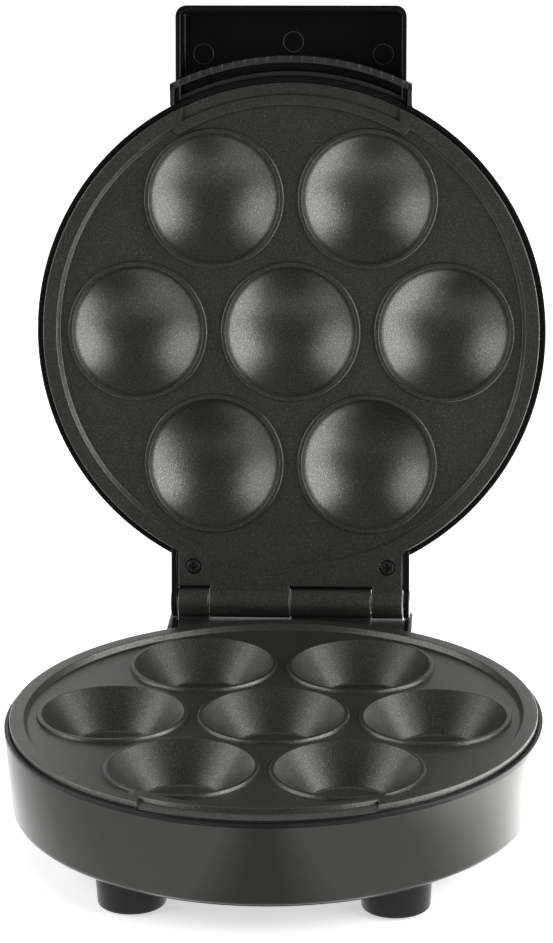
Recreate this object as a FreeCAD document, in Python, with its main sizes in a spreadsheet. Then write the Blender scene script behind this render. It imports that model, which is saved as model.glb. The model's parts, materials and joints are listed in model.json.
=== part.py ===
import FreeCAD, Part
import math
import os
import Sketcher

# A seven-well donut maker.  The base stands on four feet, a cast cooking plate lies in each
# half, and the lid swings on one steel pin at the back.  The origin is on the table, the wells'
# axes are vertical, -Y is the handle side.  Everything on the lid is drawn with the lid shut,
# and its Placement then swings it back to the open stop, which is the rest pose.

doc = FreeCAD.newDocument("DonutMaker")
sheet = doc.addObject("Spreadsheet::Sheet", "Sizes")

SIZES = [
    # name, millimetres or degrees or the sheet's formula, meaning
    ("rim_height", 52.5, "height of the lower wells' rims above the table"),
    ("well_pitch", 64.5, "distance between neighbouring wells"),
    ("well_count", 6, "wells round the middle one"),
    ("well_radius", 28.5, "lower well at its rim"),
    ("well_floor", 16.0, "lower well at its floor"),
    ("well_depth", 15.0, "depth of a lower well"),
    ("dome_radius", 27.5, "upper well at its rim"),
    ("dome_depth", 12.0, "depth of an upper well"),
    ("collar_width", 1.6, "raised ring round each well"),
    ("collar_rise", 1.3, "height of that ring over the field"),
    ("cast_wall", 2.2, "thickness of the cast plates"),
    ("flange_rise", 1.0, "flange above the wells' rims"),
    ("flange_margin", 12.3, "plate outside the outer wells' rims"),
    ("flange_radius", "=well_pitch + well_radius + flange_margin", "lower plate, outer radius"),
    ("lid_inset", 0.9, "upper plate inside the lower plate's edge"),
    ("lid_flange_radius", "=flange_radius - lid_inset", "upper plate, outer radius"),
    ("flange_width", 5.7, "flat flange"),
    ("flange_step", 1.4, "width of the slope inside the flange"),
    ("flange_edge", "=flange_rise + collar_rise + cast_wall", "height of the flange's turned-down edge"),
    ("recess_half", 45.6, "half the width of the handle-side recess"),
    ("recess_drop", 3.0, "depth of the recess"),
    ("recess_margin", 4.9, "flange that drops in front of the recess"),
    ("recess_land", "=flange_radius - recess_margin", "radius of the riser behind the recess"),
    ("plate_gap", 0.5, "gap between the flanges when shut"),
    ("post_radius", 4.0, "cast posts under a plate"),
    ("post_margin", 9.3, "plate posts inside the plate's edge"),
    ("post_place", "=flange_radius - post_margin", "radius of the posts that hold a plate"),
    ("post_length", 3.6, "length of those posts"),
    ("stud_margin", 29.3, "reflector studs inside the plate's edge"),
    ("stud_place", "=flange_radius - stud_margin", "radius of the studs that hold a reflector"),
    ("stud_length", 16.5, "length of those studs"),
    ("hinge_margin", 9.7, "hinge axis outside the plate's edge"),
    ("hinge_back", "=flange_radius + hinge_margin", "hinge axis behind the middle"),
    ("hinge_rise", 5.0, "hinge axis above the rims"),
    ("knuckle_radius", 6.5, "hinge knuckles"),
    ("knuckle_end", 47.4, "outer end of the knuckles"),
    ("knuckle_split", 34.25, "joint between short and long knuckle"),
    ("knuckle_gap", 0.7, "gap between knuckles"),
    ("pin_radius", 1.6, "steel hinge pin"),
    ("pin_play", 0.06, "radial clearance of the pin in the lid's knuckles"),
    ("lid_open", 101.8, "opening angle of the lid"),
    ("tab_drop", 2.1, "lower plate's hinge tab below the rims"),
    ("tab_wall", 3.0, "thickness of the hinge tabs"),
    ("tab_margin", 2.6, "upper plate's tab outside the plate's edge"),
    ("tab_reach", "=flange_radius + tab_margin", "back edge of the upper plate's tab"),
    ("tab_screw_x", 41.0, "side offset of the tab screws"),
    ("tab_screw_proud", 0.2, "tab screws' heads above the tab"),
    ("tab_screw_length", 7.0, "shank of the tab screws"),
    ("tab_screw_margin", 5.8, "tab screws inside the plate's edge"),
    ("tab_screw_y", "=flange_radius - tab_screw_margin", "tab screws behind the middle"),
    ("bezel_margin", 2.1, "base bezel outside its plate"),
    ("bezel_radius", "=flange_radius + bezel_margin", "base bezel"),
    ("bezel_lip", 1.6, "top of the base bezel below the rims"),
    ("lid_bezel_margin", 1.7, "lid bezel outside the lower plate's edge"),
    ("lid_bezel_radius", "=flange_radius + lid_bezel_margin", "lid bezel"),
    ("bezel_face", 2.2, "height of a bezel's outer face"),
    ("bezel_seat", 5.3, "width of the seat under a plate's edge"),
    ("bezel_inner", "=flange_radius - bezel_seat", "inner radius of both bezels"),
    ("bezel_skirt", 7.0, "depth of the bezel's skirt inside the shell"),
    ("bezel_wall", 2.4, "thickness of that skirt"),
    ("skirt_play", 1.3, "gap between the skirt and the shell's edge"),
    ("seat_play", 0.3, "clearance round a plate in its bezel"),
    ("sheet_metal", 0.7, "thickness of the shells"),
    ("shell_taper", 2.5, "how much a shell narrows over its height"),
    ("band_low", 37.7, "underside of the base shell below the rims"),
    ("band_corner", 3.5, "rounding at the base shell's lower edge"),
    ("fold_margin", 9.3, "shell's bottom fold inside the plate's edge"),
    ("band_fold", "=flange_radius - fold_margin", "inner radius of the base shell's bottom fold"),
    ("lid_face", 7.5, "height of the lid bezel's outer face"),
    ("lid_height", 38.0, "top of the lid above the rims"),
    ("lid_corner", 10.0, "rounding at the lid's top edge"),
    ("lid_crown", 2.5, "rise of the lid's top towards its middle"),
    ("cover_margin", 5.3, "bottom cover inside the plate's edge"),
    ("cover_radius", "=flange_radius - cover_margin", "bottom cover"),
    ("cover_wall", 2.2, "thickness of the bottom cover"),
    ("cover_proud", 1.5, "bottom cover below the shell's fold"),
    ("boss_radius", 4.5, "screw posts of the base bezel"),
    ("boss_margin", 14.8, "screw posts inside the plate's edge"),
    ("boss_place", "=flange_radius - boss_margin", "radius on which those posts stand"),
    ("boss_angle", 28.0, "angle of the posts from the X axis"),
    ("screw_radius", 1.5, "shank of the housing screws"),
    ("head_radius", 3.0, "head of the housing screws"),
    ("head_height", 1.8, "height of those heads"),
    ("foot_x", 51.2, "feet left and right of the middle"),
    ("foot_y", 69.0, "feet in front of and behind the middle"),
    ("foot_radius", 14.2, "feet at the top"),
    ("foot_base", 13.4, "feet at the bottom"),
    ("foot_wall", 2.4, "thickness of a foot's wall"),
    ("foot_clear", 0.8, "gap between a foot's shell and the table"),
    ("pad_radius", 10.8, "rubber pad in a foot"),
    ("pad_height", 3.2, "height of the pad"),
    ("heater_tube", 3.25, "radius of the heating tube"),
    ("heater_gap", 9.0, "half angle between the tube's two ends"),
    ("heater_leg", 16.0, "length of the tube's cold ends"),
    ("terminal_radius", 1.5, "terminal pins of the heaters"),
    ("terminal_length", 6.0, "length of those pins"),
    ("reflector_margin", 23.3, "reflector trays inside the plate's edge"),
    ("reflector_radius", "=flange_radius - reflector_margin", "reflector trays"),
    ("reflector_sheet", 0.5, "thickness of the reflector trays"),
    ("reflector_rim", 2.4, "height of their rims"),
    ("cutout", 9.0, "half width of the hole that the heater ends pass"),
    ("thermostat_radius", 6.5, "bimetal thermostats"),
    ("thermostat_height", 5.0, "height of the thermostats"),
    ("thermostat_margin", 29.3, "thermostats inside the plate's edge"),
    ("thermostat_y", "=flange_radius - thermostat_margin", "thermostats behind the middle"),
    ("block_x", 20.0, "half length of the terminal block"),
    ("block_margin", 2.5, "terminal block in front of the rear wells' pitch"),
    ("block_y", "=well_pitch - block_margin", "terminal block behind the middle"),
    ("block_depth", 16.0, "terminal block front to back"),
    ("block_height", 9.0, "height of the terminal block"),
    ("gland_radius", 6.5, "cord gland in the shell"),
    ("gland_bore", 3.6, "hole through the gland"),
    ("gland_flange", 9.0, "flange of the gland"),
    ("gland_nut", 7.6, "nut inside the shell"),
    ("gland_stand", 0.9, "gland's flange outside the shell's slope"),
    ("gland_drop", 27.0, "gland below the rims"),
    ("hinge_block_side", 4.4, "hinge block beside the knuckles"),
    ("hinge_block_x", "=knuckle_end + hinge_block_side", "half width of the hinge block"),
    ("hinge_block_margin", 1.0, "hinge block behind the knuckles"),
    ("hinge_block_back", "=hinge_back + knuckle_radius + hinge_block_margin", "back face of the hinge block"),
    ("hinge_block_low", 17.0, "bottom of the hinge block below the rims"),
    ("cheek_side", 3.0, "outer faces of the lid's cheeks beside the knuckles"),
    ("cheek_x", "=knuckle_end + cheek_side", "outer faces of the lid's hinge cheeks"),
    ("cheek_gap", 0.35, "gap between a cheek and the knuckles"),
    ("cheek_inset", 0.2, "cheek ends inside the knuckles' outline"),
    ("cheek_radius", "=knuckle_radius - cheek_inset", "rounded end of a cheek about the hinge axis"),
    ("lug_wall", 3.0, "thickness of the lugs under the plate posts"),
    ("handle_half", 48.4, "half the width of the handle"),
    ("handle_reach", 31.1, "handle in front of the plate's edge"),
    ("handle_tip", "=flange_radius + handle_reach", "front edge of the handle"),
    ("handle_low", 3.0, "underside of the handle above the rims"),
    ("handle_height", 20.0, "height of the handle"),
    ("handle_wall", 2.2, "thickness of the handle"),
    ("bezel_hood", 1.4, "thickness of the lid bezel's hood over the knuckles"),
    ("hood_margin", 4.9, "hood outside the plate's edge"),
    ("hood_reach", "=flange_radius + hood_margin", "back edge of that hood"),
    ("guard_half", 50.7, "half the width of the heat guard"),
    ("guard_margin", 10.2, "heat guard outside the plate's edge"),
    ("guard_outer", "=flange_radius + guard_margin", "heat guard, outer radius"),
    ("guard_wall", 2.8, "thickness of the heat guard"),
    ("guard_low", 2.0, "underside of the heat guard above the rims"),
    ("guard_screw_x", 22.0, "side offset of the heat guard's screws"),
    ("guard_screw_seat", 7.6, "their heads inside the lid bezel's face"),
    ("handle_screw_x", 34.0, "side offset of the handle's screws"),
    ("lamp_x", 9.0, "lamps left and right of the middle"),
    ("lamp_margin", 25.3, "lamps inside the plate's edge"),
    ("lamp_y", "=flange_radius - lamp_margin", "lamps in front of the middle"),
    ("lamp_radius", 4.0, "lamp lenses"),
    ("lamp_rise", 1.0, "lens above the lid"),
    ("neon_radius", 2.6, "neon lamps"),
    ("neon_length", 9.0, "length of the neon lamps"),
    ("frame_y", 0.0, "shift that brings the middle of the whole object over the origin"),
]


class Size:
    """A number together with the sheet expression that makes it."""

    def __init__(self, value, words):
        self.value = float(value)
        self.words = words

    def __add__(self, other):
        return combine(self, "+", other)

    def __radd__(self, other):
        return combine(other, "+", self)

    def __sub__(self, other):
        return combine(self, "-", other)

    def __rsub__(self, other):
        return combine(other, "-", self)

    def __mul__(self, other):
        return combine(self, "*", other)

    def __rmul__(self, other):
        return combine(other, "*", self)

    def __truediv__(self, other):
        return combine(self, "/", other)

    def __neg__(self):
        return combine(-1, "*", self)


def as_size(number):
    return number if isinstance(number, Size) else Size(number, f"{float(number)}")


def combine(left, sign, right):
    a = as_size(left)
    b = as_size(right)
    results = {"+": a.value + b.value, "-": a.value - b.value, "*": a.value * b.value,
               "/": a.value / b.value if b.value else 0.0}
    return Size(results[sign], f"({a.words} {sign} {b.words})")


def root(size):
    return Size(math.sqrt(size.value), f"sqrt({size.words})")


def cosine(angle):
    angle = as_size(angle)
    return Size(math.cos(math.radians(angle.value)), f"cos({angle.words})")


def sine(angle):
    angle = as_size(angle)
    return Size(math.sin(math.radians(angle.value)), f"sin({angle.words})")


def read_sheet():
    sizes = {}
    for row, (name, value, meaning) in enumerate(SIZES, start=1):
        sheet.set(f"A{row}", meaning)
        sheet.set(f"B{row}", str(value))
        sheet.setAlias(f"B{row}", name)
    doc.recompute()
    for name, _, _ in SIZES:
        sizes[name] = Size(sheet.get(name), f"Sizes.{name}")
    return sizes


S = read_sheet()
BASE, LID = "base", "lid"
RIM = S["rim_height"]
pieces = []


def bind(thing, name, size):
    """Set a property and tie it to its expression."""
    thing.setExpression(name, as_size(size).words)


def piece(thing, label, half):
    """Name a finished sub-part and place it: the lid's pieces swing about the hinge."""
    thing.Label = label
    turn_x = FreeCAD.Rotation(FreeCAD.Vector(1, 0, 0), -S["lid_open"].value if half == LID else 0)
    thing.Placement = FreeCAD.Placement(FreeCAD.Vector(), turn_x)
    if half == LID:
        hinge_z = RIM + S["hinge_rise"]
        swing = -S["lid_open"]
        shift_y = S["hinge_back"] - (S["hinge_back"] * cosine(swing) - hinge_z * sine(swing))
        shift_z = hinge_z - (S["hinge_back"] * sine(swing) + hinge_z * cosine(swing))
        bind(thing, "Placement.Rotation.Angle", swing)
        bind(thing, "Placement.Base.y", shift_y + S["frame_y"])
        bind(thing, "Placement.Base.z", shift_z)
    else:
        bind(thing, "Placement.Base.y", S["frame_y"])
    pieces.append(thing)
    return thing


# ---------------------------------------------------------------- sketches and features

def new_body(label, half):
    return piece(doc.addObject("PartDesign::Body", label), label, half)


def origin_part(body, role):
    return [part for part in body.Origin.OriginFeatures if part.Role == role][0]


def new_sketch(body, name, plane, offset=(0, 0, 0)):
    """A sketch on one of the body's origin planes, moved by an offset in its own axes."""
    sketch = body.newObject("Sketcher::SketchObject", name)
    sketch.AttachmentSupport = [(origin_part(body, plane), "")]
    sketch.MapMode = "FlatFace"
    for axis, distance in zip("xyz", offset):
        bind(sketch, f"AttachmentOffset.Base.{axis}", distance)
    return sketch


def fix_point(sketch, edge, end, x, y):
    """Tie a point of the sketch to its two coordinates."""
    for kind, size, axis in (("DistanceX", as_size(x), -2), ("DistanceY", as_size(y), -1)):
        if size.value == 0:
            sketch.addConstraint(Sketcher.Constraint("PointOnObject", edge, end, axis))
        else:
            number = sketch.addConstraint(Sketcher.Constraint(kind, -1, 1, edge, end, size.value))
            sketch.setExpression(f"Constraints[{number}]", size.words)


def draw_loop(sketch, points, arcs=()):
    """A closed outline through the points.  An edge listed in arcs is a circle's arc: its centre
    is the origin when both ends stand equally high, and otherwise lies on the vertical axis."""
    spots = [FreeCAD.Vector(as_size(x).value, as_size(y).value, 0) for x, y in points]
    count = len(spots)
    ends = []
    middle_rule = {}
    for edge in range(count):
        start, stop = spots[edge], spots[(edge + 1) % count]
        if edge in arcs:
            level = abs(start.y - stop.y) < 1e-9
            centre_y = 0.0 if level else (start.Length ** 2 - stop.Length ** 2) / (2 * (start.y - stop.y))
            middle_rule[edge] = -1 if level else -2
            centre = FreeCAD.Vector(0, centre_y, 0)
            middle = (start + stop) * 0.5 - centre
            middle = centre + middle * (start.distanceToPoint(centre) / middle.Length)
            sketch.addGeometry(Part.Arc(start, middle, stop), False)
            forward = sketch.Geometry[edge].StartPoint.distanceToPoint(start) < 1e-6
            ends.append((1, 2) if forward else (2, 1))
        else:
            sketch.addGeometry(Part.LineSegment(start, stop), False)
            ends.append((1, 2))
    for edge in range(count):
        after = (edge + 1) % count
        sketch.addConstraint(Sketcher.Constraint("Coincident", edge, ends[edge][1], after, ends[after][0]))
        fix_point(sketch, edge, ends[edge][0], *points[edge])
    for edge, axis in middle_rule.items():
        sketch.addConstraint(Sketcher.Constraint("PointOnObject", edge, 3, axis))


def draw_circle(sketch, x, y, radius):
    index = len(sketch.Geometry)
    spot = FreeCAD.Vector(as_size(x).value, as_size(y).value, 0)
    circle = Part.Circle(spot, FreeCAD.Vector(0, 0, 1), radius.value)
    sketch.addGeometry(circle, False)
    fix_point(sketch, index, 3, x, y)
    number = sketch.addConstraint(Sketcher.Constraint("Radius", index, radius.value))
    sketch.setExpression(f"Constraints[{number}]", radius.words)


def box_corners(x0, x1, y0, y1):
    return [(x0, y0), (x1, y0), (x1, y1), (x0, y1)]


def turned(body, name, points, arcs=(), x=0, cut=False):
    """Turn an outline in the XZ plane about the vertical line at x."""
    sketch = new_sketch(body, f"{name}_outline", "XZ_Plane", (x, 0, 0))
    draw_loop(sketch, points, arcs)
    feature = body.newObject("PartDesign::Groove" if cut else "PartDesign::Revolution", name)
    feature.Profile = sketch
    feature.ReferenceAxis = (sketch, ["V_Axis"])
    feature.Angle = 360
    body.Tip = feature
    return feature


def raised(body, name, plane, draw, start, length, cut=False):
    """Pad or pocket a sketch from start, measured along the plane's normal."""
    sketch = new_sketch(body, f"{name}_outline", plane, (0, 0, start))
    draw(sketch)
    feature = body.newObject("PartDesign::Pocket" if cut else "PartDesign::Pad", name)
    feature.Profile = sketch
    bind(feature, "Length", length)
    if cut:
        feature.Reversed = True
    body.Tip = feature
    return feature


def repeated(body, name, feature, count):
    """Repeat a feature evenly round the vertical axis."""
    pattern = body.newObject("PartDesign::PolarPattern", name)
    pattern.Originals = [feature]
    pattern.Axis = (origin_part(body, "Z_Axis"), [""])
    pattern.Angle = 360
    bind(pattern, "Occurrences", count)
    body.Tip = pattern
    return pattern


# ---------------------------------------------------------------- primitives

def box(name, x0, x1, y0, y1, z0, z1):
    block = doc.addObject("Part::Box", name)
    for word, low, high in (("Length", x0, x1), ("Width", y0, y1), ("Height", z0, z1)):
        bind(block, word, high - low)
    for axis, low in zip("xyz", (x0, y0, z0)):
        bind(block, f"Placement.Base.{axis}", low)
    return block


AXES = {"x": FreeCAD.Rotation(FreeCAD.Vector(0, 1, 0), 90),
        "y": FreeCAD.Rotation(FreeCAD.Vector(1, 0, 0), -90),
        "z": FreeCAD.Rotation()}


def rod(name, radius, start, length, axis="z", tip_radius=None):
    """A cylinder, or a cone when a tip radius is given, from start along an axis."""
    kind = "Part::Cylinder" if tip_radius is None else "Part::Cone"
    bar = doc.addObject(kind, name)
    bar.Placement = FreeCAD.Placement(FreeCAD.Vector(), AXES[axis])
    bind(bar, "Radius" if tip_radius is None else "Radius1", radius)
    if tip_radius is not None:
        bind(bar, "Radius2", tip_radius)
    bind(bar, "Height", length)
    for letter, distance in zip("xyz", start):
        bind(bar, f"Placement.Base.{letter}", distance)
    return bar


def fused(name, shapes):
    if len(shapes) == 1:
        return shapes[0]
    union = doc.addObject("Part::MultiFuse", name)
    union.Shapes = shapes
    return union


def cut_from(name, solid, tools):
    cut = doc.addObject("Part::Cut", name)
    cut.Base = solid
    cut.Tool = fused(f"{name}_tools", tools)
    return cut


def group(label, half, parts):
    """One sub-part from separate solids, such as a set of like fasteners, or from one primitive."""
    bundle = doc.addObject("Part::Compound", label)
    bundle.Links = parts
    return piece(bundle, label, half)


def around(radius, angle):
    """The point at a radius and an angle round the vertical axis."""
    return (radius * cosine(angle), radius * sine(angle))


# ---------------------------------------------------------------- cooking plates

def plate(label, half, side, flange_radius, rim_z):
    """A die-cast plate.  side is -1 where the metal lies below its face and +1 where above."""
    body = new_body(label, half)
    outer = flange_radius
    flat = outer - S["flange_width"]
    field = flat - S["flange_step"]
    face = rim_z - side * S["flange_rise"]
    low = rim_z + side * S["collar_rise"]
    back = low + side * S["cast_wall"]
    turned(body, "tray", [
        (0, low), (field, low), (flat, face), (outer, face), (outer, back), (0, back)])

    wall = S["cast_wall"]
    if half == BASE:
        rim, depth, foot = S["well_radius"], S["well_depth"], S["well_floor"]
    else:
        rim, depth, foot = S["dome_radius"], S["dome_depth"], S["dome_radius"] * 0.55
    cup = [(0, rim_z), (rim + S["collar_width"], rim_z), (rim + S["collar_width"], back),
           (foot + wall, rim_z + side * (depth + wall)), (0, rim_z + side * (depth + wall))]
    turned(body, "middle_cup", cup)
    ring_cup = turned(body, "ring_cup", cup, x=S["well_pitch"])
    repeated(body, "ring_cups", ring_cup, S["well_count"])
    above = rim_z - side * S["collar_rise"]
    hollow = [(0, above), (rim, above), (rim, rim_z)]
    if half == BASE:
        hollow += [(foot, rim_z + side * depth), (0, rim_z + side * depth)]
        arcs = ()
    else:
        hollow += [(0, rim_z + side * depth)]
        arcs = (2,)
    turned(body, "middle_well", hollow, arcs, cut=True)
    ring_well = turned(body, "ring_well", hollow, arcs, x=S["well_pitch"], cut=True)
    repeated(body, "ring_wells", ring_well, S["well_count"])

    # handle-side recess: the flange drops between two straight walls
    def recess(sketch):
        half_x = S["recess_half"]
        reach = S["bezel_radius"]
        side_y = root(S["recess_land"] * S["recess_land"] - half_x * half_x)
        draw_loop(sketch, [(-half_x, -side_y), (half_x, -side_y), (half_x, -reach), (-half_x, -reach)],
                  arcs=(0,))

    drop = S["recess_drop"]
    raised(body, "recess", "XY_Plane", recess, face if half == LID else face - drop, drop, cut=True)

    # four posts take the screws that hold the plate, three longer studs carry the reflector
    def post(place, angle):
        return lambda sketch: draw_circle(sketch, *around(place, angle), S["post_radius"])

    deep = S["post_length"]
    long = S["stud_length"]
    holder = raised(body, "post", "XY_Plane", post(S["post_place"], 0),
                    back if half == LID else back - deep, deep)
    repeated(body, "posts", holder, 4)
    stud = raised(body, "stud", "XY_Plane", post(S["stud_place"], 30),
                  back if half == LID else back - long, long)
    repeated(body, "studs", stud, 3)
    return body, back


def knuckle(body, name, x0, x1, bore, arm):
    """A hinge knuckle from x0 to x1 with its bore, joined to the tab by an arm."""
    axis_z = RIM + S["hinge_rise"]
    pitch = S["hinge_back"]

    def barrel(sketch):
        draw_circle(sketch, pitch, axis_z, S["knuckle_radius"])

    def hole(sketch):
        draw_circle(sketch, pitch, axis_z, bore)

    raised(body, f"{name}_barrel", "YZ_Plane", barrel, x0, x1 - x0)
    raised(body, f"{name}_arm", "YZ_Plane", lambda sketch: draw_loop(sketch, box_corners(*arm)), x0, x1 - x0)
    raised(body, f"{name}_bore", "YZ_Plane", hole, x0, x1 - x0, cut=True)


LOWER_FACE = RIM
UPPER_FACE = RIM + S["flange_rise"] * 2 + S["plate_gap"]
half_gap = S["knuckle_gap"] / 2
hinge_z = RIM + S["hinge_rise"]

lower_plate, lower_back = plate("lower_plate", BASE, -1, S["flange_radius"], LOWER_FACE)
tab_top = RIM - S["tab_drop"]
tab_back = S["hinge_back"] + S["knuckle_radius"]
tab_half = S["knuckle_end"]
raised(lower_plate, "hinge_tab", "XY_Plane",
       lambda sketch: draw_loop(sketch, box_corners(-tab_half, tab_half, S["flange_radius"] * 0.89,
                                                    tab_back)),
       tab_top - S["tab_wall"], S["tab_wall"])
base_arm = (S["hinge_back"] - S["knuckle_radius"], tab_back, tab_top - S["tab_wall"], hinge_z)
knuckle(lower_plate, "short_knuckle", -S["knuckle_end"], -S["knuckle_split"] - half_gap, S["pin_radius"],
        base_arm)
knuckle(lower_plate, "long_knuckle", half_gap, S["knuckle_split"] - half_gap, S["pin_radius"], base_arm)

upper_plate, upper_back = plate("upper_plate", LID, 1, S["lid_flange_radius"], UPPER_FACE)
tab_face = UPPER_FACE - S["flange_rise"]
raised(upper_plate, "hinge_tab", "XY_Plane",
       lambda sketch: draw_loop(sketch, box_corners(-tab_half, tab_half, S["lid_flange_radius"] * 0.89,
                                                    S["tab_reach"])),
       tab_face, S["tab_wall"])
lid_bore = S["pin_radius"] + S["pin_play"]
lid_arm = (S["tab_reach"] - S["tab_wall"], S["hinge_back"], tab_face, tab_face + S["tab_wall"] + 2.5)
knuckle(upper_plate, "long_knuckle", -S["knuckle_split"] + half_gap, -half_gap, lid_bore, lid_arm)
knuckle(upper_plate, "short_knuckle", S["knuckle_split"] + half_gap, S["knuckle_end"], lid_bore, lid_arm)
screw_play = S["screw_radius"] + 0.1
tab_sink = S["head_height"] - S["tab_screw_proud"]
for name, sign in (("left", -1), ("right", 1)):
    raised(upper_plate, f"{name}_screw_hole", "XY_Plane",
           lambda sketch: draw_circle(sketch, sign * S["tab_screw_x"], S["tab_screw_y"], screw_play),
           tab_face, S["tab_wall"], cut=True)
    raised(upper_plate, f"{name}_counterbore", "XY_Plane",
           lambda sketch: draw_circle(sketch, sign * S["tab_screw_x"], S["tab_screw_y"],
                                      S["head_radius"] + 0.3),
           tab_face, tab_sink, cut=True)

pin = rod("pin_bar", S["pin_radius"], (-S["knuckle_end"], S["hinge_back"], hinge_z), S["knuckle_end"] * 2,
          "x")
group("hinge_pin", BASE, [pin])


# ---------------------------------------------------------------- bezels, shells and cover

def bezel(label, half, side, plate_radius, radius, lip_z, seat_z, face_height):
    """The moulded ring that holds a plate and carries the shell's edge on a rebated skirt."""
    body = new_body(label, half)
    shoulder = lip_z + side * face_height
    skirt = radius - S["sheet_metal"] - S["skirt_play"]
    tail = shoulder + side * S["bezel_skirt"]
    inner = plate_radius + S["seat_play"]
    turned(body, "ring", [
        (S["bezel_inner"], seat_z), (inner, seat_z), (inner, lip_z), (radius, lip_z),
        (radius, shoulder), (skirt, shoulder), (skirt, tail), (skirt - S["bezel_wall"], tail),
        (skirt - S["bezel_wall"], seat_z + side * 3.0), (S["bezel_inner"], seat_z + side * 3.0)])
    return body


base_seat = RIM + S["flange_rise"] - S["flange_edge"]
lid_seat = tab_face + S["flange_edge"]
base_lip = RIM - S["bezel_lip"]
lid_lip = tab_face + (S["bezel_lip"] + S["flange_rise"])

base_bezel = bezel("base_bezel", BASE, -1, S["flange_radius"], S["bezel_radius"], base_lip, base_seat,
                   S["bezel_face"])
block_low = RIM - S["hinge_block_low"]
block_x = S["hinge_block_x"]
block_top = tab_top - S["tab_wall"]
raised(base_bezel, "hinge_block", "XY_Plane",
       lambda sketch: draw_loop(sketch, box_corners(-block_x, block_x, S["bezel_inner"] * 0.8,
                                                    S["hinge_block_back"])),
       block_low, base_lip - block_low)
tab_pocket = S["knuckle_end"] + 0.3
raised(base_bezel, "tab_pocket", "XY_Plane",
       lambda sketch: draw_loop(sketch, box_corners(-tab_pocket, tab_pocket, S["bezel_inner"] - 12,
                                                    S["hinge_block_back"] + 1)),
       block_top, base_lip - block_top + 1, cut=True)
raised(base_bezel, "block_hollow", "XY_Plane",
       lambda sketch: draw_loop(sketch, box_corners(-block_x + S["bezel_wall"], block_x - S["bezel_wall"],
                                                    S["bezel_inner"] - 12,
                                                    S["hinge_block_back"] - S["bezel_wall"])),
       block_low, block_top - block_low - S["bezel_wall"], cut=True)
raised(base_bezel, "plate_seat", "XY_Plane", lambda sketch: draw_circle(sketch, 0, 0, S["bezel_inner"]),
       block_low, S["hinge_block_low"], cut=True)
raised(base_bezel, "plate_rebate", "XY_Plane",
       lambda sketch: draw_circle(sketch, 0, 0, S["flange_radius"] + S["seat_play"]),
       base_seat, S["flange_edge"], cut=True)

cover_top = RIM - S["band_low"]
boss_x, boss_y = around(S["boss_place"], S["boss_angle"])
quarters = [(sign_x, sign_y) for sign_x in (-1, 1) for sign_y in (-1, 1)]
rib_half = S["boss_radius"] - 1.0
rib_reach = S["bezel_inner"] + 0.8
rib_near_y = boss_y - rib_half
rib_end = root(rib_reach * rib_reach - rib_near_y * rib_near_y)
for number, (sign_x, sign_y) in enumerate(quarters):
    x, y = sign_x * boss_x, sign_y * boss_y
    raised(base_bezel, f"boss_{number}", "XY_Plane",
           lambda sketch: draw_circle(sketch, x, y, S["boss_radius"]),
           cover_top, base_seat - cover_top - 1)
    near, far = (x, sign_x * rib_end) if sign_x > 0 else (sign_x * rib_end, x)
    raised(base_bezel, f"rib_{number}", "XY_Plane",
           lambda sketch: draw_loop(sketch, box_corners(near, far, y - rib_half, y + rib_half)),
           base_seat - 3.6, as_size(3.0))


# lugs that reach inwards from the ring to the plate's posts
def lug(label_body, name, z0, ring_radius):
    half = S["post_radius"] + 1.5
    near = S["post_place"] - S["post_radius"]
    outline = raised(label_body, name, "XY_Plane",
                     lambda sketch: draw_loop(sketch, box_corners(near, ring_radius, -half, half)),
                     z0, S["lug_wall"])
    repeated(label_body, f"{name}s", outline, 4)


lower_lug = lower_back - S["post_length"] - S["lug_wall"]
upper_lug = upper_back + S["post_length"]
lug(base_bezel, "lug", lower_lug, S["bezel_radius"] - S["sheet_metal"] - 2.0)

lid_bezel = bezel("lid_bezel", LID, 1, S["lid_flange_radius"], S["lid_bezel_radius"], lid_lip, lid_seat,
                  S["lid_face"])
lid_shoulder = lid_lip + S["lid_face"]
cheek_in = S["knuckle_end"] + S["cheek_gap"]
for name, sign in (("left", -1), ("right", 1)):
    near, far = sign * cheek_in, sign * S["cheek_x"]
    low_x, high_x = (far, near) if sign < 0 else (near, far)
    raised(lid_bezel, f"{name}_cheek", "YZ_Plane",
           lambda sketch: draw_loop(sketch, box_corners(S["lid_bezel_radius"] * 0.87, S["hinge_back"],
                                                        tab_face, lid_shoulder)),
           low_x, high_x - low_x)
    raised(lid_bezel, f"{name}_cheek_round", "YZ_Plane",
           lambda sketch: draw_circle(sketch, S["hinge_back"], hinge_z, S["cheek_radius"]),
           low_x, high_x - low_x)
tab_floor = tab_face + S["tab_wall"]
raised(lid_bezel, "tab_backing", "XY_Plane",
       lambda sketch: draw_loop(sketch, box_corners(-cheek_in, cheek_in, S["lid_bezel_radius"] * 0.87,
                                                    S["tab_reach"] - S["tab_wall"])),
       tab_floor, lid_shoulder - tab_floor)
raised(lid_bezel, "tab_pocket", "XY_Plane",
       lambda sketch: draw_loop(sketch, box_corners(-cheek_in, cheek_in, S["lid_bezel_radius"] * 0.87,
                                                    S["hinge_back"])),
       tab_face - 1, S["tab_wall"] + 1, cut=True)
raised(lid_bezel, "arm_pocket", "XY_Plane",
       lambda sketch: draw_loop(sketch, box_corners(-cheek_in, cheek_in, S["tab_reach"] - S["tab_wall"],
                                                    S["hinge_back"])),
       tab_face, lid_shoulder - S["bezel_hood"] - tab_face, cut=True)
raised(lid_bezel, "hood", "XY_Plane",
       lambda sketch: draw_loop(sketch, box_corners(-cheek_in, cheek_in, S["bezel_inner"], S["hood_reach"])),
       lid_shoulder - S["bezel_hood"], S["bezel_hood"])
raised(lid_bezel, "plate_rebate", "XY_Plane",
       lambda sketch: draw_circle(sketch, 0, 0, S["lid_flange_radius"] + S["seat_play"]),
       tab_face - 1, lid_seat - tab_face + 1, cut=True)
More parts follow.
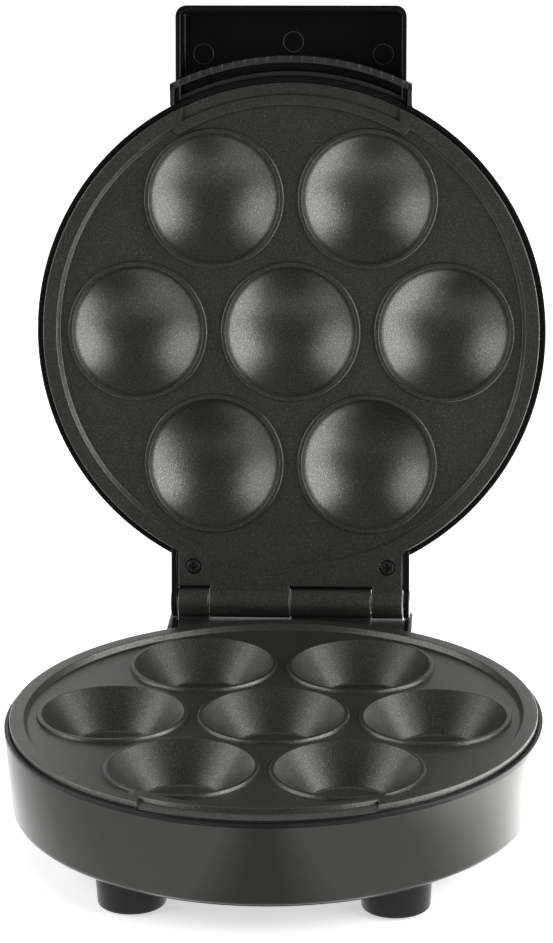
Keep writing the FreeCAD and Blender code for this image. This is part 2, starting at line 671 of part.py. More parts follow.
raised(lid_bezel, "inner_bore", "XY_Plane", lambda sketch: draw_circle(sketch, 0, 0, S["bezel_inner"]),
       tab_face - 1, lid_shoulder - tab_face + 1, cut=True)
lug(lid_bezel, "lug", upper_lug, S["lid_bezel_radius"] - S["sheet_metal"] - 2.0)
for name, sign in (("left", -1), ("right", 1)):
    raised(lid_bezel, f"{name}_screw_hole", "XY_Plane",
           lambda sketch: draw_circle(sketch, sign * S["tab_screw_x"], S["tab_screw_y"], S["screw_radius"]),
           tab_face, tab_sink + S["tab_screw_length"], cut=True)

# base shell: a drawn sheet-metal band with its lower edge folded in
band = new_body("base_shell", BASE)
gauge = S["sheet_metal"]
band_top = base_lip - S["bezel_face"]
band_radius = S["bezel_radius"] - 0.1
foot_radius = band_radius - S["shell_taper"]
corner = S["band_corner"]
band_low = RIM - S["band_low"]
turned(band, "band", [
    (band_radius - gauge, band_top), (band_radius, band_top), (foot_radius, band_low + corner),
    (foot_radius - corner * 0.3, band_low + corner * 0.3), (foot_radius - corner, band_low),
    (S["band_fold"], band_low), (S["band_fold"], band_low + gauge), (foot_radius - corner, band_low + gauge),
    (foot_radius - gauge - corner * 0.25, band_low + gauge + corner * 0.25),
    (foot_radius - gauge, band_low + corner)])
notch_x = block_x + 0.3
raised(band, "hinge_notch", "XY_Plane",
       lambda sketch: draw_loop(sketch, box_corners(-notch_x, notch_x, S["bezel_inner"] * 0.8,
                                                    S["hinge_block_back"])),
       block_low - 0.3, S["hinge_block_low"], cut=True)
gland_z = RIM - S["gland_drop"]
raised(band, "gland_hole", "XZ_Plane", lambda sketch: draw_circle(sketch, 0, gland_z, S["gland_radius"]),
       -S["bezel_radius"] - 1, as_size(12.0), cut=True)

# lid shell: a drawn dome with a lamp hole on each side of the middle
shell = new_body("lid_shell", LID)
lid_top = RIM + S["lid_height"]
lid_radius = S["lid_bezel_radius"]
shoulder_radius = lid_radius - S["shell_taper"]
bend = S["lid_corner"]
crown = lid_top + S["lid_crown"]
turned(shell, "dome", [
    (lid_radius, lid_shoulder), (shoulder_radius, lid_top - bend),
    (shoulder_radius - bend * 0.29, lid_top - bend * 0.29), (shoulder_radius - bend, lid_top), (0, crown),
    (0, crown - gauge), (shoulder_radius - bend, lid_top - gauge),
    (shoulder_radius - gauge - bend * 0.27, lid_top - gauge - bend * 0.27),
    (shoulder_radius - gauge, lid_top - bend), (lid_radius - gauge, lid_shoulder)])
raised(shell, "lamp_holes", "XY_Plane",
       lambda sketch: [draw_circle(sketch, sign * S["lamp_x"], -S["lamp_y"], S["lamp_radius"])
                       for sign in (-1, 1)],
       lid_top - bend, bend * 2, cut=True)

# bottom cover
cover = new_body("bottom_cover", BASE)
cover_low = band_low - S["cover_proud"]
cover_in = S["band_fold"] - 0.3
turned(cover, "disc", [
    (0, cover_low), (S["cover_radius"], cover_low), (S["cover_radius"], band_low), (cover_in, band_low),
    (cover_in, cover_low + S["cover_wall"]), (0, cover_low + S["cover_wall"])])
screw_hole = S["screw_radius"] + 0.2
raised(cover, "screw_holes", "XY_Plane",
       lambda sketch: [draw_circle(sketch, sign_x * boss_x, sign_y * boss_y, screw_hole)
                       for sign_x, sign_y in quarters],
       cover_low - 1, S["cover_wall"] + 2, cut=True)
boss_pocket = S["boss_radius"] + 0.2
raised(cover, "boss_pockets", "XY_Plane",
       lambda sketch: [draw_circle(sketch, sign_x * boss_x, sign_y * boss_y, boss_pocket)
                       for sign_x, sign_y in quarters],
       band_low, S["cover_wall"], cut=True)
raised(cover, "foot_screw_holes", "XY_Plane",
       lambda sketch: [draw_circle(sketch, sign_x * S["foot_x"], sign_y * S["foot_y"], screw_hole)
                       for sign_x, sign_y in quarters],
       cover_low - 1, S["cover_wall"] + 2, cut=True)


# ---------------------------------------------------------------- feet

CORNERS = (("front_left", -1, -1), ("front_right", 1, -1), ("rear_left", -1, 1), ("rear_right", 1, 1))
shelf = S["pad_height"] - S["foot_clear"]
for corner_name, sign_x, sign_y in CORNERS:
    x, y = sign_x * S["foot_x"], sign_y * S["foot_y"]
    foot_height = cover_low - S["foot_clear"]
    outside = rod(f"{corner_name}_cup", S["foot_base"], (x, y, S["foot_clear"]), foot_height, "z",
                  S["foot_radius"])
    socket = rod(f"{corner_name}_socket", S["pad_radius"], (x, y, S["foot_clear"] - 1), shelf + 1)
    hole = rod(f"{corner_name}_hole", screw_hole, (x, y, S["foot_clear"]), foot_height)
    recess_low = S["foot_clear"] + shelf + S["foot_wall"]
    head_seat = recess_low - S["foot_wall"] + S["head_height"]
    sink = rod(f"{corner_name}_sink", S["head_radius"] + 0.2, (x, y, S["foot_clear"]),
               head_seat - S["foot_clear"])
    inside = rod(f"{corner_name}_inside", S["foot_base"] - S["foot_wall"], (x, y, recess_low),
                 cover_low - recess_low)
    core = rod(f"{corner_name}_core", S["boss_radius"], (x, y, recess_low), cover_low - recess_low)
    hollow = cut_from(f"{corner_name}_hollow", inside, [core])
    piece(cut_from(f"foot_{corner_name}", outside, [socket, sink, hole, hollow]), f"foot_{corner_name}", BASE)
    group(f"foot_pad_{corner_name}", BASE,
          [rod(f"pad_{corner_name}", S["pad_radius"], (x, y, as_size(0)), S["pad_height"])])


# ---------------------------------------------------------------- fasteners

def screw(name, x, y, head_z, side, length, head_radius, head_height, shank=None):
    """A pan-head screw whose head seats at head_z and whose shank runs to the given side."""
    radius = shank or S["screw_radius"]
    head_start = head_z if side < 0 else head_z - head_height
    shank_start = head_z - length if side < 0 else head_z
    head = rod(f"{name}_head", head_radius, (x, y, head_start), head_height)
    stem = rod(f"{name}_stem", radius, (x, y, shank_start), length)
    return fused(name, [head, stem])


def drilled(label_body, name, spots, z0, depth, radius):
    raised(label_body, name, "XY_Plane",
           lambda sketch: [draw_circle(sketch, x, y, radius) for x, y in spots], z0, depth, cut=True)


quarter_spots = [(sign_x * boss_x, sign_y * boss_y) for sign_x, sign_y in quarters]
cover_screw_length = as_size(12.0)
drilled(base_bezel, "boss_holes", quarter_spots, cover_top, cover_screw_length, S["screw_radius"])
group("cover_screws", BASE, [
    screw(f"cover_screw_{n}", x, y, cover_low, 1, S["cover_wall"] + 9.0, S["head_radius"], S["head_height"])
    for n, (x, y) in enumerate(quarter_spots)])
foot_spots = [(sign_x * S["foot_x"], sign_y * S["foot_y"]) for _, sign_x, sign_y in CORNERS]
group("foot_screws", BASE, [
    screw(f"foot_screw_{n}", x, y, head_seat, 1, cover_low + S["cover_wall"] - head_seat,
          S["head_radius"], S["head_height"] - 0.2)
    for n, (x, y) in enumerate(foot_spots)])
post_spots = [around(S["post_place"], angle) for angle in (0, 90, 180, 270)]
plate_screw_length = as_size(6.0)
post_hole = plate_screw_length - 3.0
drilled(lower_plate, "post_holes", post_spots, lower_back - S["post_length"], post_hole, S["screw_radius"])
drilled(base_bezel, "lug_holes", post_spots, lower_lug, as_size(3.0), screw_hole)
group("lower_plate_screws", BASE, [
    screw(f"lower_plate_screw_{n}", x, y, lower_lug, 1, plate_screw_length, S["head_radius"],
          S["head_height"])
    for n, (x, y) in enumerate(post_spots)])
drilled(upper_plate, "post_holes", post_spots, upper_back + S["post_length"] - post_hole, post_hole,
        S["screw_radius"])
drilled(lid_bezel, "lug_holes", post_spots, upper_lug, as_size(3.0), screw_hole)
group("upper_plate_screws", LID, [
    screw(f"upper_plate_screw_{n}", x, y, upper_lug + 3.0, -1, plate_screw_length, S["head_radius"],
          S["head_height"])
    for n, (x, y) in enumerate(post_spots)])
tab_spots = [(sign * S["tab_screw_x"], S["tab_screw_y"]) for sign in (-1, 1)]
group("tab_screws", LID, [
    screw(f"tab_screw_{n}", x, y, tab_face + tab_sink, 1, S["tab_screw_length"], S["head_radius"],
          S["head_height"])
    for n, (x, y) in enumerate(tab_spots)])


# ---------------------------------------------------------------- heating

def heater(label, half, side, back):
    """A sheathed tube bent to a ring, with two cold ends that turn away from the plate."""
    tube = S["heater_tube"]
    ring_radius = S["well_pitch"] / 2
    z = back + side * tube
    leg = S["heater_leg"]
    ring = doc.addObject("Part::Torus", f"{label}_ring")
    bind(ring, "Radius1", ring_radius)
    bind(ring, "Radius2", tube)
    bind(ring, "Angle3", 360 - 2 * S["heater_gap"])
    ring.Placement = FreeCAD.Placement(FreeCAD.Vector(), FreeCAD.Rotation(FreeCAD.Vector(0, 0, 1), 99))
    bind(ring, "Placement.Rotation.Angle", 90 + S["heater_gap"])
    bind(ring, "Placement.Base.z", z)
    parts = [ring]
    for name, angle in (("left", 90 + S["heater_gap"]), ("right", 90 - S["heater_gap"])):
        x, y = around(ring_radius, angle)
        elbow = doc.addObject("Part::Sphere", f"{label}_{name}_elbow")
        bind(elbow, "Radius", tube)
        for letter, distance in zip("xyz", (x, y, z)):
            bind(elbow, f"Placement.Base.{letter}", distance)
        start = z if side > 0 else z - leg
        pin_start = z + leg if side > 0 else z - leg - S["terminal_length"]
        parts += [elbow, rod(f"{label}_{name}_leg", tube, (x, y, start), leg),
                  rod(f"{label}_{name}_pin", S["terminal_radius"], (x, y, pin_start), S["terminal_length"])]
    piece(fused(label, parts), label, half)
    return z


def reflector(label, half, side, back):
    """A thin bright tray over the studs, with a hole for the heater's ends."""
    body = new_body(label, half)
    z = back + side * S["stud_length"]
    far = z + side * S["reflector_sheet"]
    rim = S["reflector_radius"]
    lip = z - side * S["reflector_rim"]
    turned(body, "tray", [
        (0, z), (rim - S["reflector_sheet"], z), (rim - S["reflector_sheet"], lip), (rim, lip), (rim, far),
        (0, far)])
    hole_y = S["well_pitch"] / 2
    gap = S["cutout"]
    raised(body, "heater_hole", "XY_Plane",
           lambda sketch: draw_loop(sketch, box_corners(-gap - 1, gap + 1, hole_y - gap, hole_y + gap)),
           z - 5, as_size(10.0), cut=True)
    stud_spots = [around(S["stud_place"], angle) for angle in (30, 150, 270)]
    drilled(body, "screw_holes", stud_spots, z - 5, as_size(10.0), screw_hole)
    return z, far, stud_spots


def thermostat(label, half, side, back):
    """A bimetal disc switch against the plate's back, with two blade terminals."""
    height = S["thermostat_height"]
    y = S["thermostat_y"]
    start = back if side > 0 else back - height
    can = rod(f"{label}_can", S["thermostat_radius"], (as_size(0), y, start), height)
    cap_start = back + height if side > 0 else back - height * 2
    cap = rod(f"{label}_cap", S["thermostat_radius"] * 0.8, (as_size(0), y, cap_start), height)
    blades = []
    for sign in (-1, 1):
        z0 = cap_start + height if side > 0 else cap_start - height
        blades.append(box(f"{label}_blade_{sign + 1}", sign * as_size(4.0) - 0.4, sign * as_size(4.0) + 0.4,
                          y - 3, y + 3, z0, z0 + height))
    piece(fused(label, [can, cap] + blades), label, half)


lower_heater_z = heater("lower_heater", BASE, -1, lower_back)
upper_heater_z = heater("upper_heater", LID, 1, upper_back)
lower_tray, lower_tray_back, stud_spots = reflector("lower_reflector", BASE, -1, lower_back)
upper_tray, upper_tray_back, _ = reflector("upper_reflector", LID, 1, upper_back)
stud_hole = as_size(7.0)
drilled(lower_plate, "stud_holes", stud_spots, lower_tray, stud_hole, S["screw_radius"])
drilled(upper_plate, "stud_holes", stud_spots, upper_tray - stud_hole, stud_hole, S["screw_radius"])
tray_screw_length = S["reflector_sheet"] + 6.0
group("lower_reflector_screws", BASE, [
    screw(f"lower_reflector_screw_{n}", x, y, lower_tray_back, 1, tray_screw_length, S["head_radius"],
          S["head_height"]) for n, (x, y) in enumerate(stud_spots)])
group("upper_reflector_screws", LID, [
    screw(f"upper_reflector_screw_{n}", x, y, upper_tray_back, -1, tray_screw_length, S["head_radius"],
          S["head_height"]) for n, (x, y) in enumerate(stud_spots)])
thermostat("lower_thermostat", BASE, -1, lower_back)
thermostat("upper_thermostat", LID, 1, upper_back)

# terminal block, thermal fuse and leads on the bottom cover
cover_floor = cover_low + S["cover_wall"]
block = box("block_body", -S["block_x"], S["block_x"], S["block_y"], S["block_y"] + S["block_depth"],
            cover_floor, cover_floor + S["block_height"])
lead_z = cover_floor + S["block_height"] / 2
end_x, end_y = around(S["well_pitch"] / 2, 90 - S["heater_gap"])
lead_radius = as_size(1.3)
ways = [rod(f"block_way_{n}", lead_radius, (step * end_x, S["block_y"] - 1, lead_z), S["block_depth"] + 2,
            "y")
        for n, step in enumerate((-3, -1, 1, 3))]
piece(cut_from("terminal_block", block, ways), "terminal_block", BASE)
pin_low = lower_heater_z - S["heater_leg"] - S["terminal_length"]
leads = []
for name, step in (("left", -1), ("right", 1)):
    corner_ball = doc.addObject("Part::Sphere", f"{name}_lead_corner")
    bind(corner_ball, "Radius", lead_radius)
    for letter, distance in zip("xyz", (step * end_x, end_y, lead_z)):
        bind(corner_ball, f"Placement.Base.{letter}", distance)
    leads.append(fused(f"{name}_lead", [
        rod(f"{name}_lead_drop", lead_radius, (step * end_x, end_y, lead_z), pin_low - lead_z), corner_ball,
        rod(f"{name}_lead_run", lead_radius, (step * end_x, end_y, lead_z), S["block_y"] + 4 - end_y, "y")]))
group("heater_leads", BASE, leads)
fuse_y = S["well_pitch"] / 2 - 14
fuse = [rod("fuse_can", as_size(2.0), (as_size(-6.0), fuse_y, lead_z), as_size(12.0), "x"),
        rod("fuse_wire", as_size(0.6), (as_size(-14.0), fuse_y, lead_z), as_size(28.0), "x")]
piece(fused("thermal_fuse", fuse), "thermal_fuse", BASE)
clip = box("clip_body", as_size(-2.5), as_size(2.5), S["well_pitch"] / 2 - 17.5, S["well_pitch"] / 2 - 10.5,
           cover_floor, lead_z + 3.0)
clip_hole = rod("clip_hole", as_size(2.0), (as_size(-4.0), fuse_y, lead_z), as_size(8.0), "x")
piece(cut_from("fuse_clip", clip, [clip_hole]), "fuse_clip", BASE)

# cord gland through the back of the base shell
slope_run = (band_top - gland_z) / (band_top - band_low - corner)
gland_y = band_radius - S["shell_taper"] * slope_run + S["gland_stand"]
neck = rod("gland_neck", S["gland_radius"] - 0.05, (as_size(0), gland_y - 8.0, gland_z), as_size(9.0), "y")
collar = rod("gland_collar", S["gland_flange"], (as_size(0), gland_y, gland_z), as_size(3.5), "y",
             S["gland_radius"])
nut = rod("gland_nut", S["gland_nut"], (as_size(0), gland_y - 7.0, gland_z), as_size(4.0), "y")
bore = rod("gland_bore", S["gland_bore"], (as_size(0), gland_y - 10.0, gland_z), as_size(16.0), "y")
piece(cut_from("cord_gland", fused("gland_solid", [neck, collar, nut]), [bore]), "cord_gland", BASE)


# ---------------------------------------------------------------- handle and heat guard

handle_low = RIM + S["handle_low"]
handle_top = handle_low + S["handle_height"]
wall = S["handle_wall"]
half_x = S["handle_half"]
roof_low = handle_top - wall
inner_y = -S["lid_bezel_radius"] * 0.8
lid_room = S["lid_bezel_radius"] + 0.05
handle = new_body("handle", LID)
raised(handle, "tray", "XY_Plane",
       lambda sketch: draw_loop(sketch, box_corners(-half_x, half_x, -S["handle_tip"], inner_y)),
       handle_low, S["handle_height"])
raised(handle, "finger_hollow", "XY_Plane",
       lambda sketch: draw_loop(sketch, box_corners(-half_x + wall, half_x - wall, -S["handle_tip"] + wall,
                                                    inner_y)),
       handle_low, S["handle_height"] - wall, cut=True)
raised(handle, "guard_room", "XY_Plane", lambda sketch: draw_circle(sketch, 0, 0, S["guard_outer"] + 0.1),
       handle_low, S["handle_height"] - wall, cut=True)
raised(handle, "lid_room", "XY_Plane", lambda sketch: draw_circle(sketch, 0, 0, lid_room),
       handle_low, S["handle_height"], cut=True)

guard = new_body("heat_guard", LID)
guard_half = S["guard_half"]
guard_low = RIM + S["guard_low"]
guard_tall = roof_low - guard_low
guard_in = S["guard_outer"] - S["guard_wall"]
guard_back = S["lid_bezel_radius"] + S["guard_wall"] * 0.75
raised(guard, "block", "XY_Plane",
       lambda sketch: draw_loop(sketch, box_corners(-guard_half, guard_half, -S["handle_tip"], inner_y)),
       guard_low, guard_tall)
far = S["handle_tip"] * 1.2
turned(guard, "outer_trim", [(S["guard_outer"], guard_low - 1), (far, guard_low - 1), (far, roof_low + 1),
                             (S["guard_outer"], roof_low + 1)], cut=True)
raised(guard, "inner_trim", "XY_Plane", lambda sketch: draw_circle(sketch, 0, 0, lid_room),
       guard_low, guard_tall, cut=True)


def guard_slot(radius):
    """The space between the end walls, from the back wall out to a radius."""
    inner_half = guard_half - S["guard_wall"]
    side_y = root(radius * radius - inner_half * inner_half)
    return lambda sketch: draw_loop(sketch, [(inner_half, -side_y), (-inner_half, -side_y),
                                             (-inner_half, inner_y), (inner_half, inner_y)], arcs=(0,))


back_rim = as_size(4.0)
raised(guard, "front_rebate", "XY_Plane", guard_slot(guard_in), guard_low, back_rim, cut=True)
slot_tall = guard_tall - S["guard_wall"]
half_slot = guard_half - S["guard_wall"]
slot_out = root(guard_in * guard_in - half_slot * half_slot)
slot_in = root(guard_back * guard_back - half_slot * half_slot)


def gap_outline(sketch):
    draw_loop(sketch, [(-half_slot, -slot_in), (-half_slot, -slot_out), (half_slot, -slot_out),
                       (half_slot, -slot_in)], arcs=(1, 3))


raised(guard, "gap", "XY_Plane", gap_outline, guard_low, slot_tall, cut=True)
guard_screw_z = lid_shoulder + S["bezel_skirt"] / 2
guard_screw_head = S["lid_bezel_radius"] - S["guard_screw_seat"]
for body, radius in ((lid_bezel, screw_hole), (shell, screw_hole), (guard, S["screw_radius"])):
    raised(body, "guard_screw_holes", "XZ_Plane",
           lambda sketch: [draw_circle(sketch, sign * S["guard_screw_x"], guard_screw_z, radius)
                           for sign in (-1, 1)],
           S["lid_bezel_radius"] - 12.0, as_size(13.5), cut=True)
guard_screws = []
for number, sign in enumerate((-1, 1)):
    spot = (sign * S["guard_screw_x"], -guard_screw_head, guard_screw_z)
    tip = (sign * S["guard_screw_x"], -guard_screw_head - 7.5, guard_screw_z)
    guard_screws.append(fused(f"guard_screw_{number}", [
        rod(f"guard_screw_{number}_head", S["head_radius"], spot, S["head_height"], "y"),
        rod(f"guard_screw_{number}_stem", S["screw_radius"], tip, as_size(7.5), "y")]))
group("guard_screws", LID, guard_screws)
handle_screw_y = -(guard_back + guard_in) / 2 * cosine(18)
handle_spots = [(sign * S["handle_screw_x"], handle_screw_y) for sign in (-1, 1)]
bite = as_size(1.6)
drilled(guard, "handle_screw_holes", handle_spots, roof_low - S["guard_wall"], S["guard_wall"], screw_hole)
drilled(handle, "handle_screw_holes", handle_spots, roof_low, bite, S["screw_radius"])
group("handle_screws", LID, [
    screw(f"handle_screw_{n}", x, y, roof_low - S["guard_wall"], 1, S["guard_wall"] + bite, as_size(1.7),
          as_size(1.2), as_size(1.2)) for n, (x, y) in enumerate(handle_spots)])


# ---------------------------------------------------------------- lamps

for name, sign in (("power", -1), ("ready", 1)):
    x = sign * S["lamp_x"]
    y = -S["lamp_y"]
    lens_low = lid_top - 2.0
    lens = rod(f"{name}_cap", S["lamp_radius"] - 0.05, (x, y, lens_low), lid_top - lens_low + S["lamp_rise"])
    group(f"{name}_lens", LID, [lens])
    neon = rod(f"{name}_neon", S["neon_radius"], (x, y, lens_low - S["neon_length"]), S["neon_length"])
    group(f"{name}_lamp", LID, [neon])

doc.recompute()


def check_features():
    failed = [thing.Name for thing in doc.Objects if "Invalid" in thing.State or "Error" in thing.State]
    if failed:
        raise RuntimeError(f"features failed: {failed}")


check_features()

# the origin is under the middle of the whole object's box
low_y = min(thing.Shape.optimalBoundingBox(False, False).YMin for thing in pieces)
high_y = max(thing.Shape.optimalBoundingBox(False, False).YMax for thing in pieces)
frame_row = 1 + [name for name, _, _ in SIZES].index("frame_y")
shift = -(low_y + high_y) / 2
sheet.set(f"B{frame_row}", f"{shift:.4f}")
doc.recompute()
axis_y = shift + S["hinge_back"].value
print(f"the base's middle stands at y = {shift:.4f}, the hinge axis at y = {axis_y:.4f}, "
      f"z = {hinge_z.value:.4f}")
check_features()

os.makedirs("parts", exist_ok=True)
for thing in pieces:
    shape = thing.Shape
    if shape.isNull() or not shape.isValid() or not shape.Solids:
        raise RuntimeError(f"{thing.Label} has no valid solid")
    shape.exportStep(os.path.join("parts", f"{thing.Label}.step"))
    print(thing.Label, len(shape.Solids), round(shape.Volume))
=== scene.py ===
import json
import math

import bmesh
import bpy
import numpy as np
from mathutils import Matrix, Vector
from mathutils.geometry import delaunay_2d_cdt


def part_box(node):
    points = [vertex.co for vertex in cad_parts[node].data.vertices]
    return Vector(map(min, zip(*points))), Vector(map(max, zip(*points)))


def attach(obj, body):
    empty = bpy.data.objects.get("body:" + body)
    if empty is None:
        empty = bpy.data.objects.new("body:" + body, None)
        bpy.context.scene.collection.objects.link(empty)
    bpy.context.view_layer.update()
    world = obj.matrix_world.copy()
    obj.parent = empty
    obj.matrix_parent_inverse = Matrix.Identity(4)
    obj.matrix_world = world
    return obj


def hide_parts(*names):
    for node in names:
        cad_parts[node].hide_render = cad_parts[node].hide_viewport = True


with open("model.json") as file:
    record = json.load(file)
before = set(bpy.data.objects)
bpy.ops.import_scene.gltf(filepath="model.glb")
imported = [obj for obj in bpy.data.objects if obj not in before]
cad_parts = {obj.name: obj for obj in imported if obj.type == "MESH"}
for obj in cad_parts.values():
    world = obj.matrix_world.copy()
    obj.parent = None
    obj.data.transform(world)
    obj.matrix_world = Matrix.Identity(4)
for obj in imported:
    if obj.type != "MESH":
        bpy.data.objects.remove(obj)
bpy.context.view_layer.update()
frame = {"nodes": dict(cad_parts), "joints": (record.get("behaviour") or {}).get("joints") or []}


# ---------------------------------------------------------------- lower cooking plate
# A die-cast aluminium tray with seven cone-shaped wells, each inside a low raised ring, and a
# flange that drops at the handle side.  The hinge tab and two knuckles are cast with it, and
# all of it is sprayed with a dark speckled non-stick coat.

MM = 0.001
AXIS_BACK, AXIS_UP = 115.0, 5.0
WELL_PITCH = 64.5
FIELD, BACK = -1.3, -3.5
FLANGE = 4.6
RECESS_HALF, RECESS_TURN = 45.6, 30.2
TAB_HALF = 47.4
KNUCKLE = 6.5
LOWER_EDGE = 105.3
cover_low, cover_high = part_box("bottom_cover")
middle_y = (cover_low.y + cover_high.y) / 2
hinge = frame["joints"][0]
hinge_y, hinge_z = hinge["pos_m"][1], hinge["pos_m"][2]
open_angle = math.radians(hinge["range_deg"][1])
rim_z = hinge_z - AXIS_UP * MM


def on_base(points):
    """Millimetres from the middle of the wells' rims, moved to their place in the frame."""
    return points * MM + np.array([0.0, middle_y, rim_z])


def on_lid(points):
    """The same millimetres with the lid shut, turned about the hinge to the open stop:
    y = hinge + dy cos a + dz sin a and z = hinge - dy sin a + dz cos a."""
    placed = on_base(points)
    dy, dz = placed[..., 1] - hinge_y, placed[..., 2] - hinge_z
    back = hinge_y + dy * math.cos(open_angle) + dz * math.sin(open_angle)
    up = hinge_z - dy * math.sin(open_angle) + dz * math.cos(open_angle)
    return np.stack([placed[..., 0], back, up], axis=-1)


def smooth(t):
    """Zero below 0, one above 1, and 3t^2 - 2t^3 between."""
    t = np.clip(t, 0.0, 1.0)
    return t * t * (3 - 2 * t)


def filleted(corners, steps=5, closed=False):
    """Corners are rows of (across, up, radius).  Each corner becomes an arc tangent to its two
    sides: it starts radius / tan(half the corner's angle) before the corner, and its points
    are the sine-weighted mean of the two arms from the arc's centre."""
    rows = np.asarray(corners, float)
    spots, radii = rows[:, :2], rows[:, 2].copy()
    before, after = np.roll(spots, 1, 0) - spots, np.roll(spots, -1, 0) - spots
    if not closed:
        radii[[0, -1]] = 0.0
        before[0], after[-1] = -after[0], -before[-1]
    before = before / np.linalg.norm(before, axis=1, keepdims=True)
    after = after / np.linalg.norm(after, axis=1, keepdims=True)
    half = np.arccos(np.clip((before * after).sum(1), -1, 1)) / 2
    half = np.clip(half, 1e-3, math.pi / 2 - 1e-4)
    reach = (radii / np.tan(half))[:, None]
    between = before + after
    middle = between / np.maximum(np.linalg.norm(between, axis=1, keepdims=True), 1e-9)
    centre = spots + middle * (radii / np.sin(half))[:, None]
    first, last = spots + before * reach - centre, spots + after * reach - centre
    turn = (math.pi - 2 * half)[:, None, None]
    share = np.linspace(0, 1, steps)[None, :, None]
    arcs = np.sin((1 - share) * turn) * first[:, None] + np.sin(share * turn) * last[:, None]
    arcs = arcs / np.sin(turn)
    points = (centre[:, None] + arcs).reshape(-1, 2)
    return np.vstack([points, points[:1]]) if closed else points


def turned(profile, at=(0.0, 0.0), steps=144):
    """A profile of (radius, height) turned about a vertical line: at angle t it is
    (x + r cos t, y + r sin t, z)."""
    t = np.linspace(0, 2 * math.pi, steps + 1)
    r, z = np.asarray(profile, float).T
    return np.stack([at[0] + np.outer(np.cos(t), r), at[1] + np.outer(np.sin(t), r),
                     np.tile(z, (steps + 1, 1))], axis=-1)


def block(x0, x1, y0, y1, z0, z1, radius, steps=4):
    """A block with rounded edges: each corner of the inner block carries an eighth of a ball,
    p = core corner + radius * (cos a cos b, sin a cos b, sin b), and the grid's long faces
    join them.  A row at the middle of the top and of the bottom closes it."""
    quarter = np.linspace(0, math.pi / 2, steps)
    a = np.concatenate([quarter + k * math.pi / 2 for k in range(4)] + [[2 * math.pi]])
    corner_x = np.concatenate([np.repeat([1, -1, -1, 1], steps), [1]])
    corner_y = np.concatenate([np.repeat([1, 1, -1, -1], steps), [1]])
    b = np.concatenate([quarter - math.pi / 2, quarter])
    corner_z = np.repeat([-1, 1], steps)
    half = np.array([x1 - x0, y1 - y0, z1 - z0]) / 2 - radius
    middle = np.array([x0 + x1, y0 + y1, z0 + z1]) / 2
    x = middle[0] + corner_x * half[0] + radius * np.outer(np.cos(b), np.cos(a))
    y = middle[1] + corner_y * half[1] + radius * np.outer(np.cos(b), np.sin(a))
    z = np.tile((middle[2] + corner_z * half[2] + radius * np.sin(b))[:, None], (1, len(a)))
    grid = np.stack([x, y, z], axis=-1)
    low, high = grid[:1].copy(), grid[-1:].copy()
    low[..., :2], high[..., :2] = middle[:2], middle[:2]
    return np.concatenate([low, grid, high])


def barrel(x0, x1, radius, bore=None, edge=0.45, steps=72):
    """A round bar about the hinge axis, as a profile of (radius, x) turned about it; with a
    bore the profile is a closed loop round the wall of a tube."""
    if bore is None:
        profile = filleted([(0, x0, 0), (radius, x0, edge), (radius, x1, edge), (0, x1, 0)])
    else:
        profile = filleted([(bore, x0, 0.1), (radius, x0, edge), (radius, x1, edge), (bore, x1, 0.1)],
                           closed=True)
    grid = turned(profile, steps=steps)
    return np.stack([grid[..., 2], grid[..., 0] + AXIS_BACK, grid[..., 1] + AXIS_UP], axis=-1)


def sheet_with_holes(rim, holes, height):
    """A flat sheet inside one closed loop and outside the others, cut into triangles between
    the loops' own points.  Loops are rows of (x, y)."""
    loops = [np.asarray(loop)[:, :2] for loop in [rim, *holes]]
    counts = [len(loop) for loop in loops]
    starts = np.concatenate([[0], np.cumsum(counts)[:-1]])
    cells = [list(range(s, s + n)) for s, n in zip(starts, counts)]
    corners = [Vector(p) for p in np.concatenate(loops)]
    points, _, faces, *_ = delaunay_2d_cdt(corners, [], cells, 2, 1e-5)
    flat = np.array([(p.x, p.y, 0.0) for p in points])
    flat[:, 2] = height
    return flat, np.array([face[:] for face in faces])


def mesh_of(name, patches, place):
    """One mesh from grids of points and (points, faces) sheets, welded where they meet, with
    its faces turned outwards."""
    spots, faces, count = [], [], 0
    for patch in patches:
        if isinstance(patch, tuple):
            points, cells = patch
        else:
            rows, columns = patch.shape[:2]
            points = patch.reshape(-1, 3)
            corner = (np.arange(rows - 1)[:, None] * columns + np.arange(columns - 1)[None, :]).ravel()
            cells = np.stack([corner, corner + 1, corner + columns + 1, corner + columns], axis=1)
        spots.append(place(np.asarray(points, float)))
        faces += (cells + count).tolist()
        count += len(points)
    mesh = bpy.data.meshes.new(name)
    mesh.from_pydata(np.concatenate(spots), [], faces)
    work = bmesh.new()
    work.from_mesh(mesh)
    bmesh.ops.remove_doubles(work, verts=work.verts, dist=2e-6)
    bmesh.ops.dissolve_degenerate(work, edges=work.edges, dist=1e-7)
    bmesh.ops.recalc_face_normals(work, faces=work.faces)
    work.to_mesh(mesh)
    work.free()
    return mesh


def fit(name, patches, place, body, finish, stands_for, crease=32):
    """Make the piece, give it its finish, and fix it to its half of the appliance."""
    mesh = mesh_of(name, patches, place)
    mesh.shade_smooth()
    mesh.set_sharp_from_angle(angle=math.radians(crease))
    mesh.materials.append(finish)
    thing = bpy.data.objects.new(name, mesh)
    bpy.context.scene.collection.objects.link(thing)
    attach(thing, body)
    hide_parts(*stands_for)
    return thing


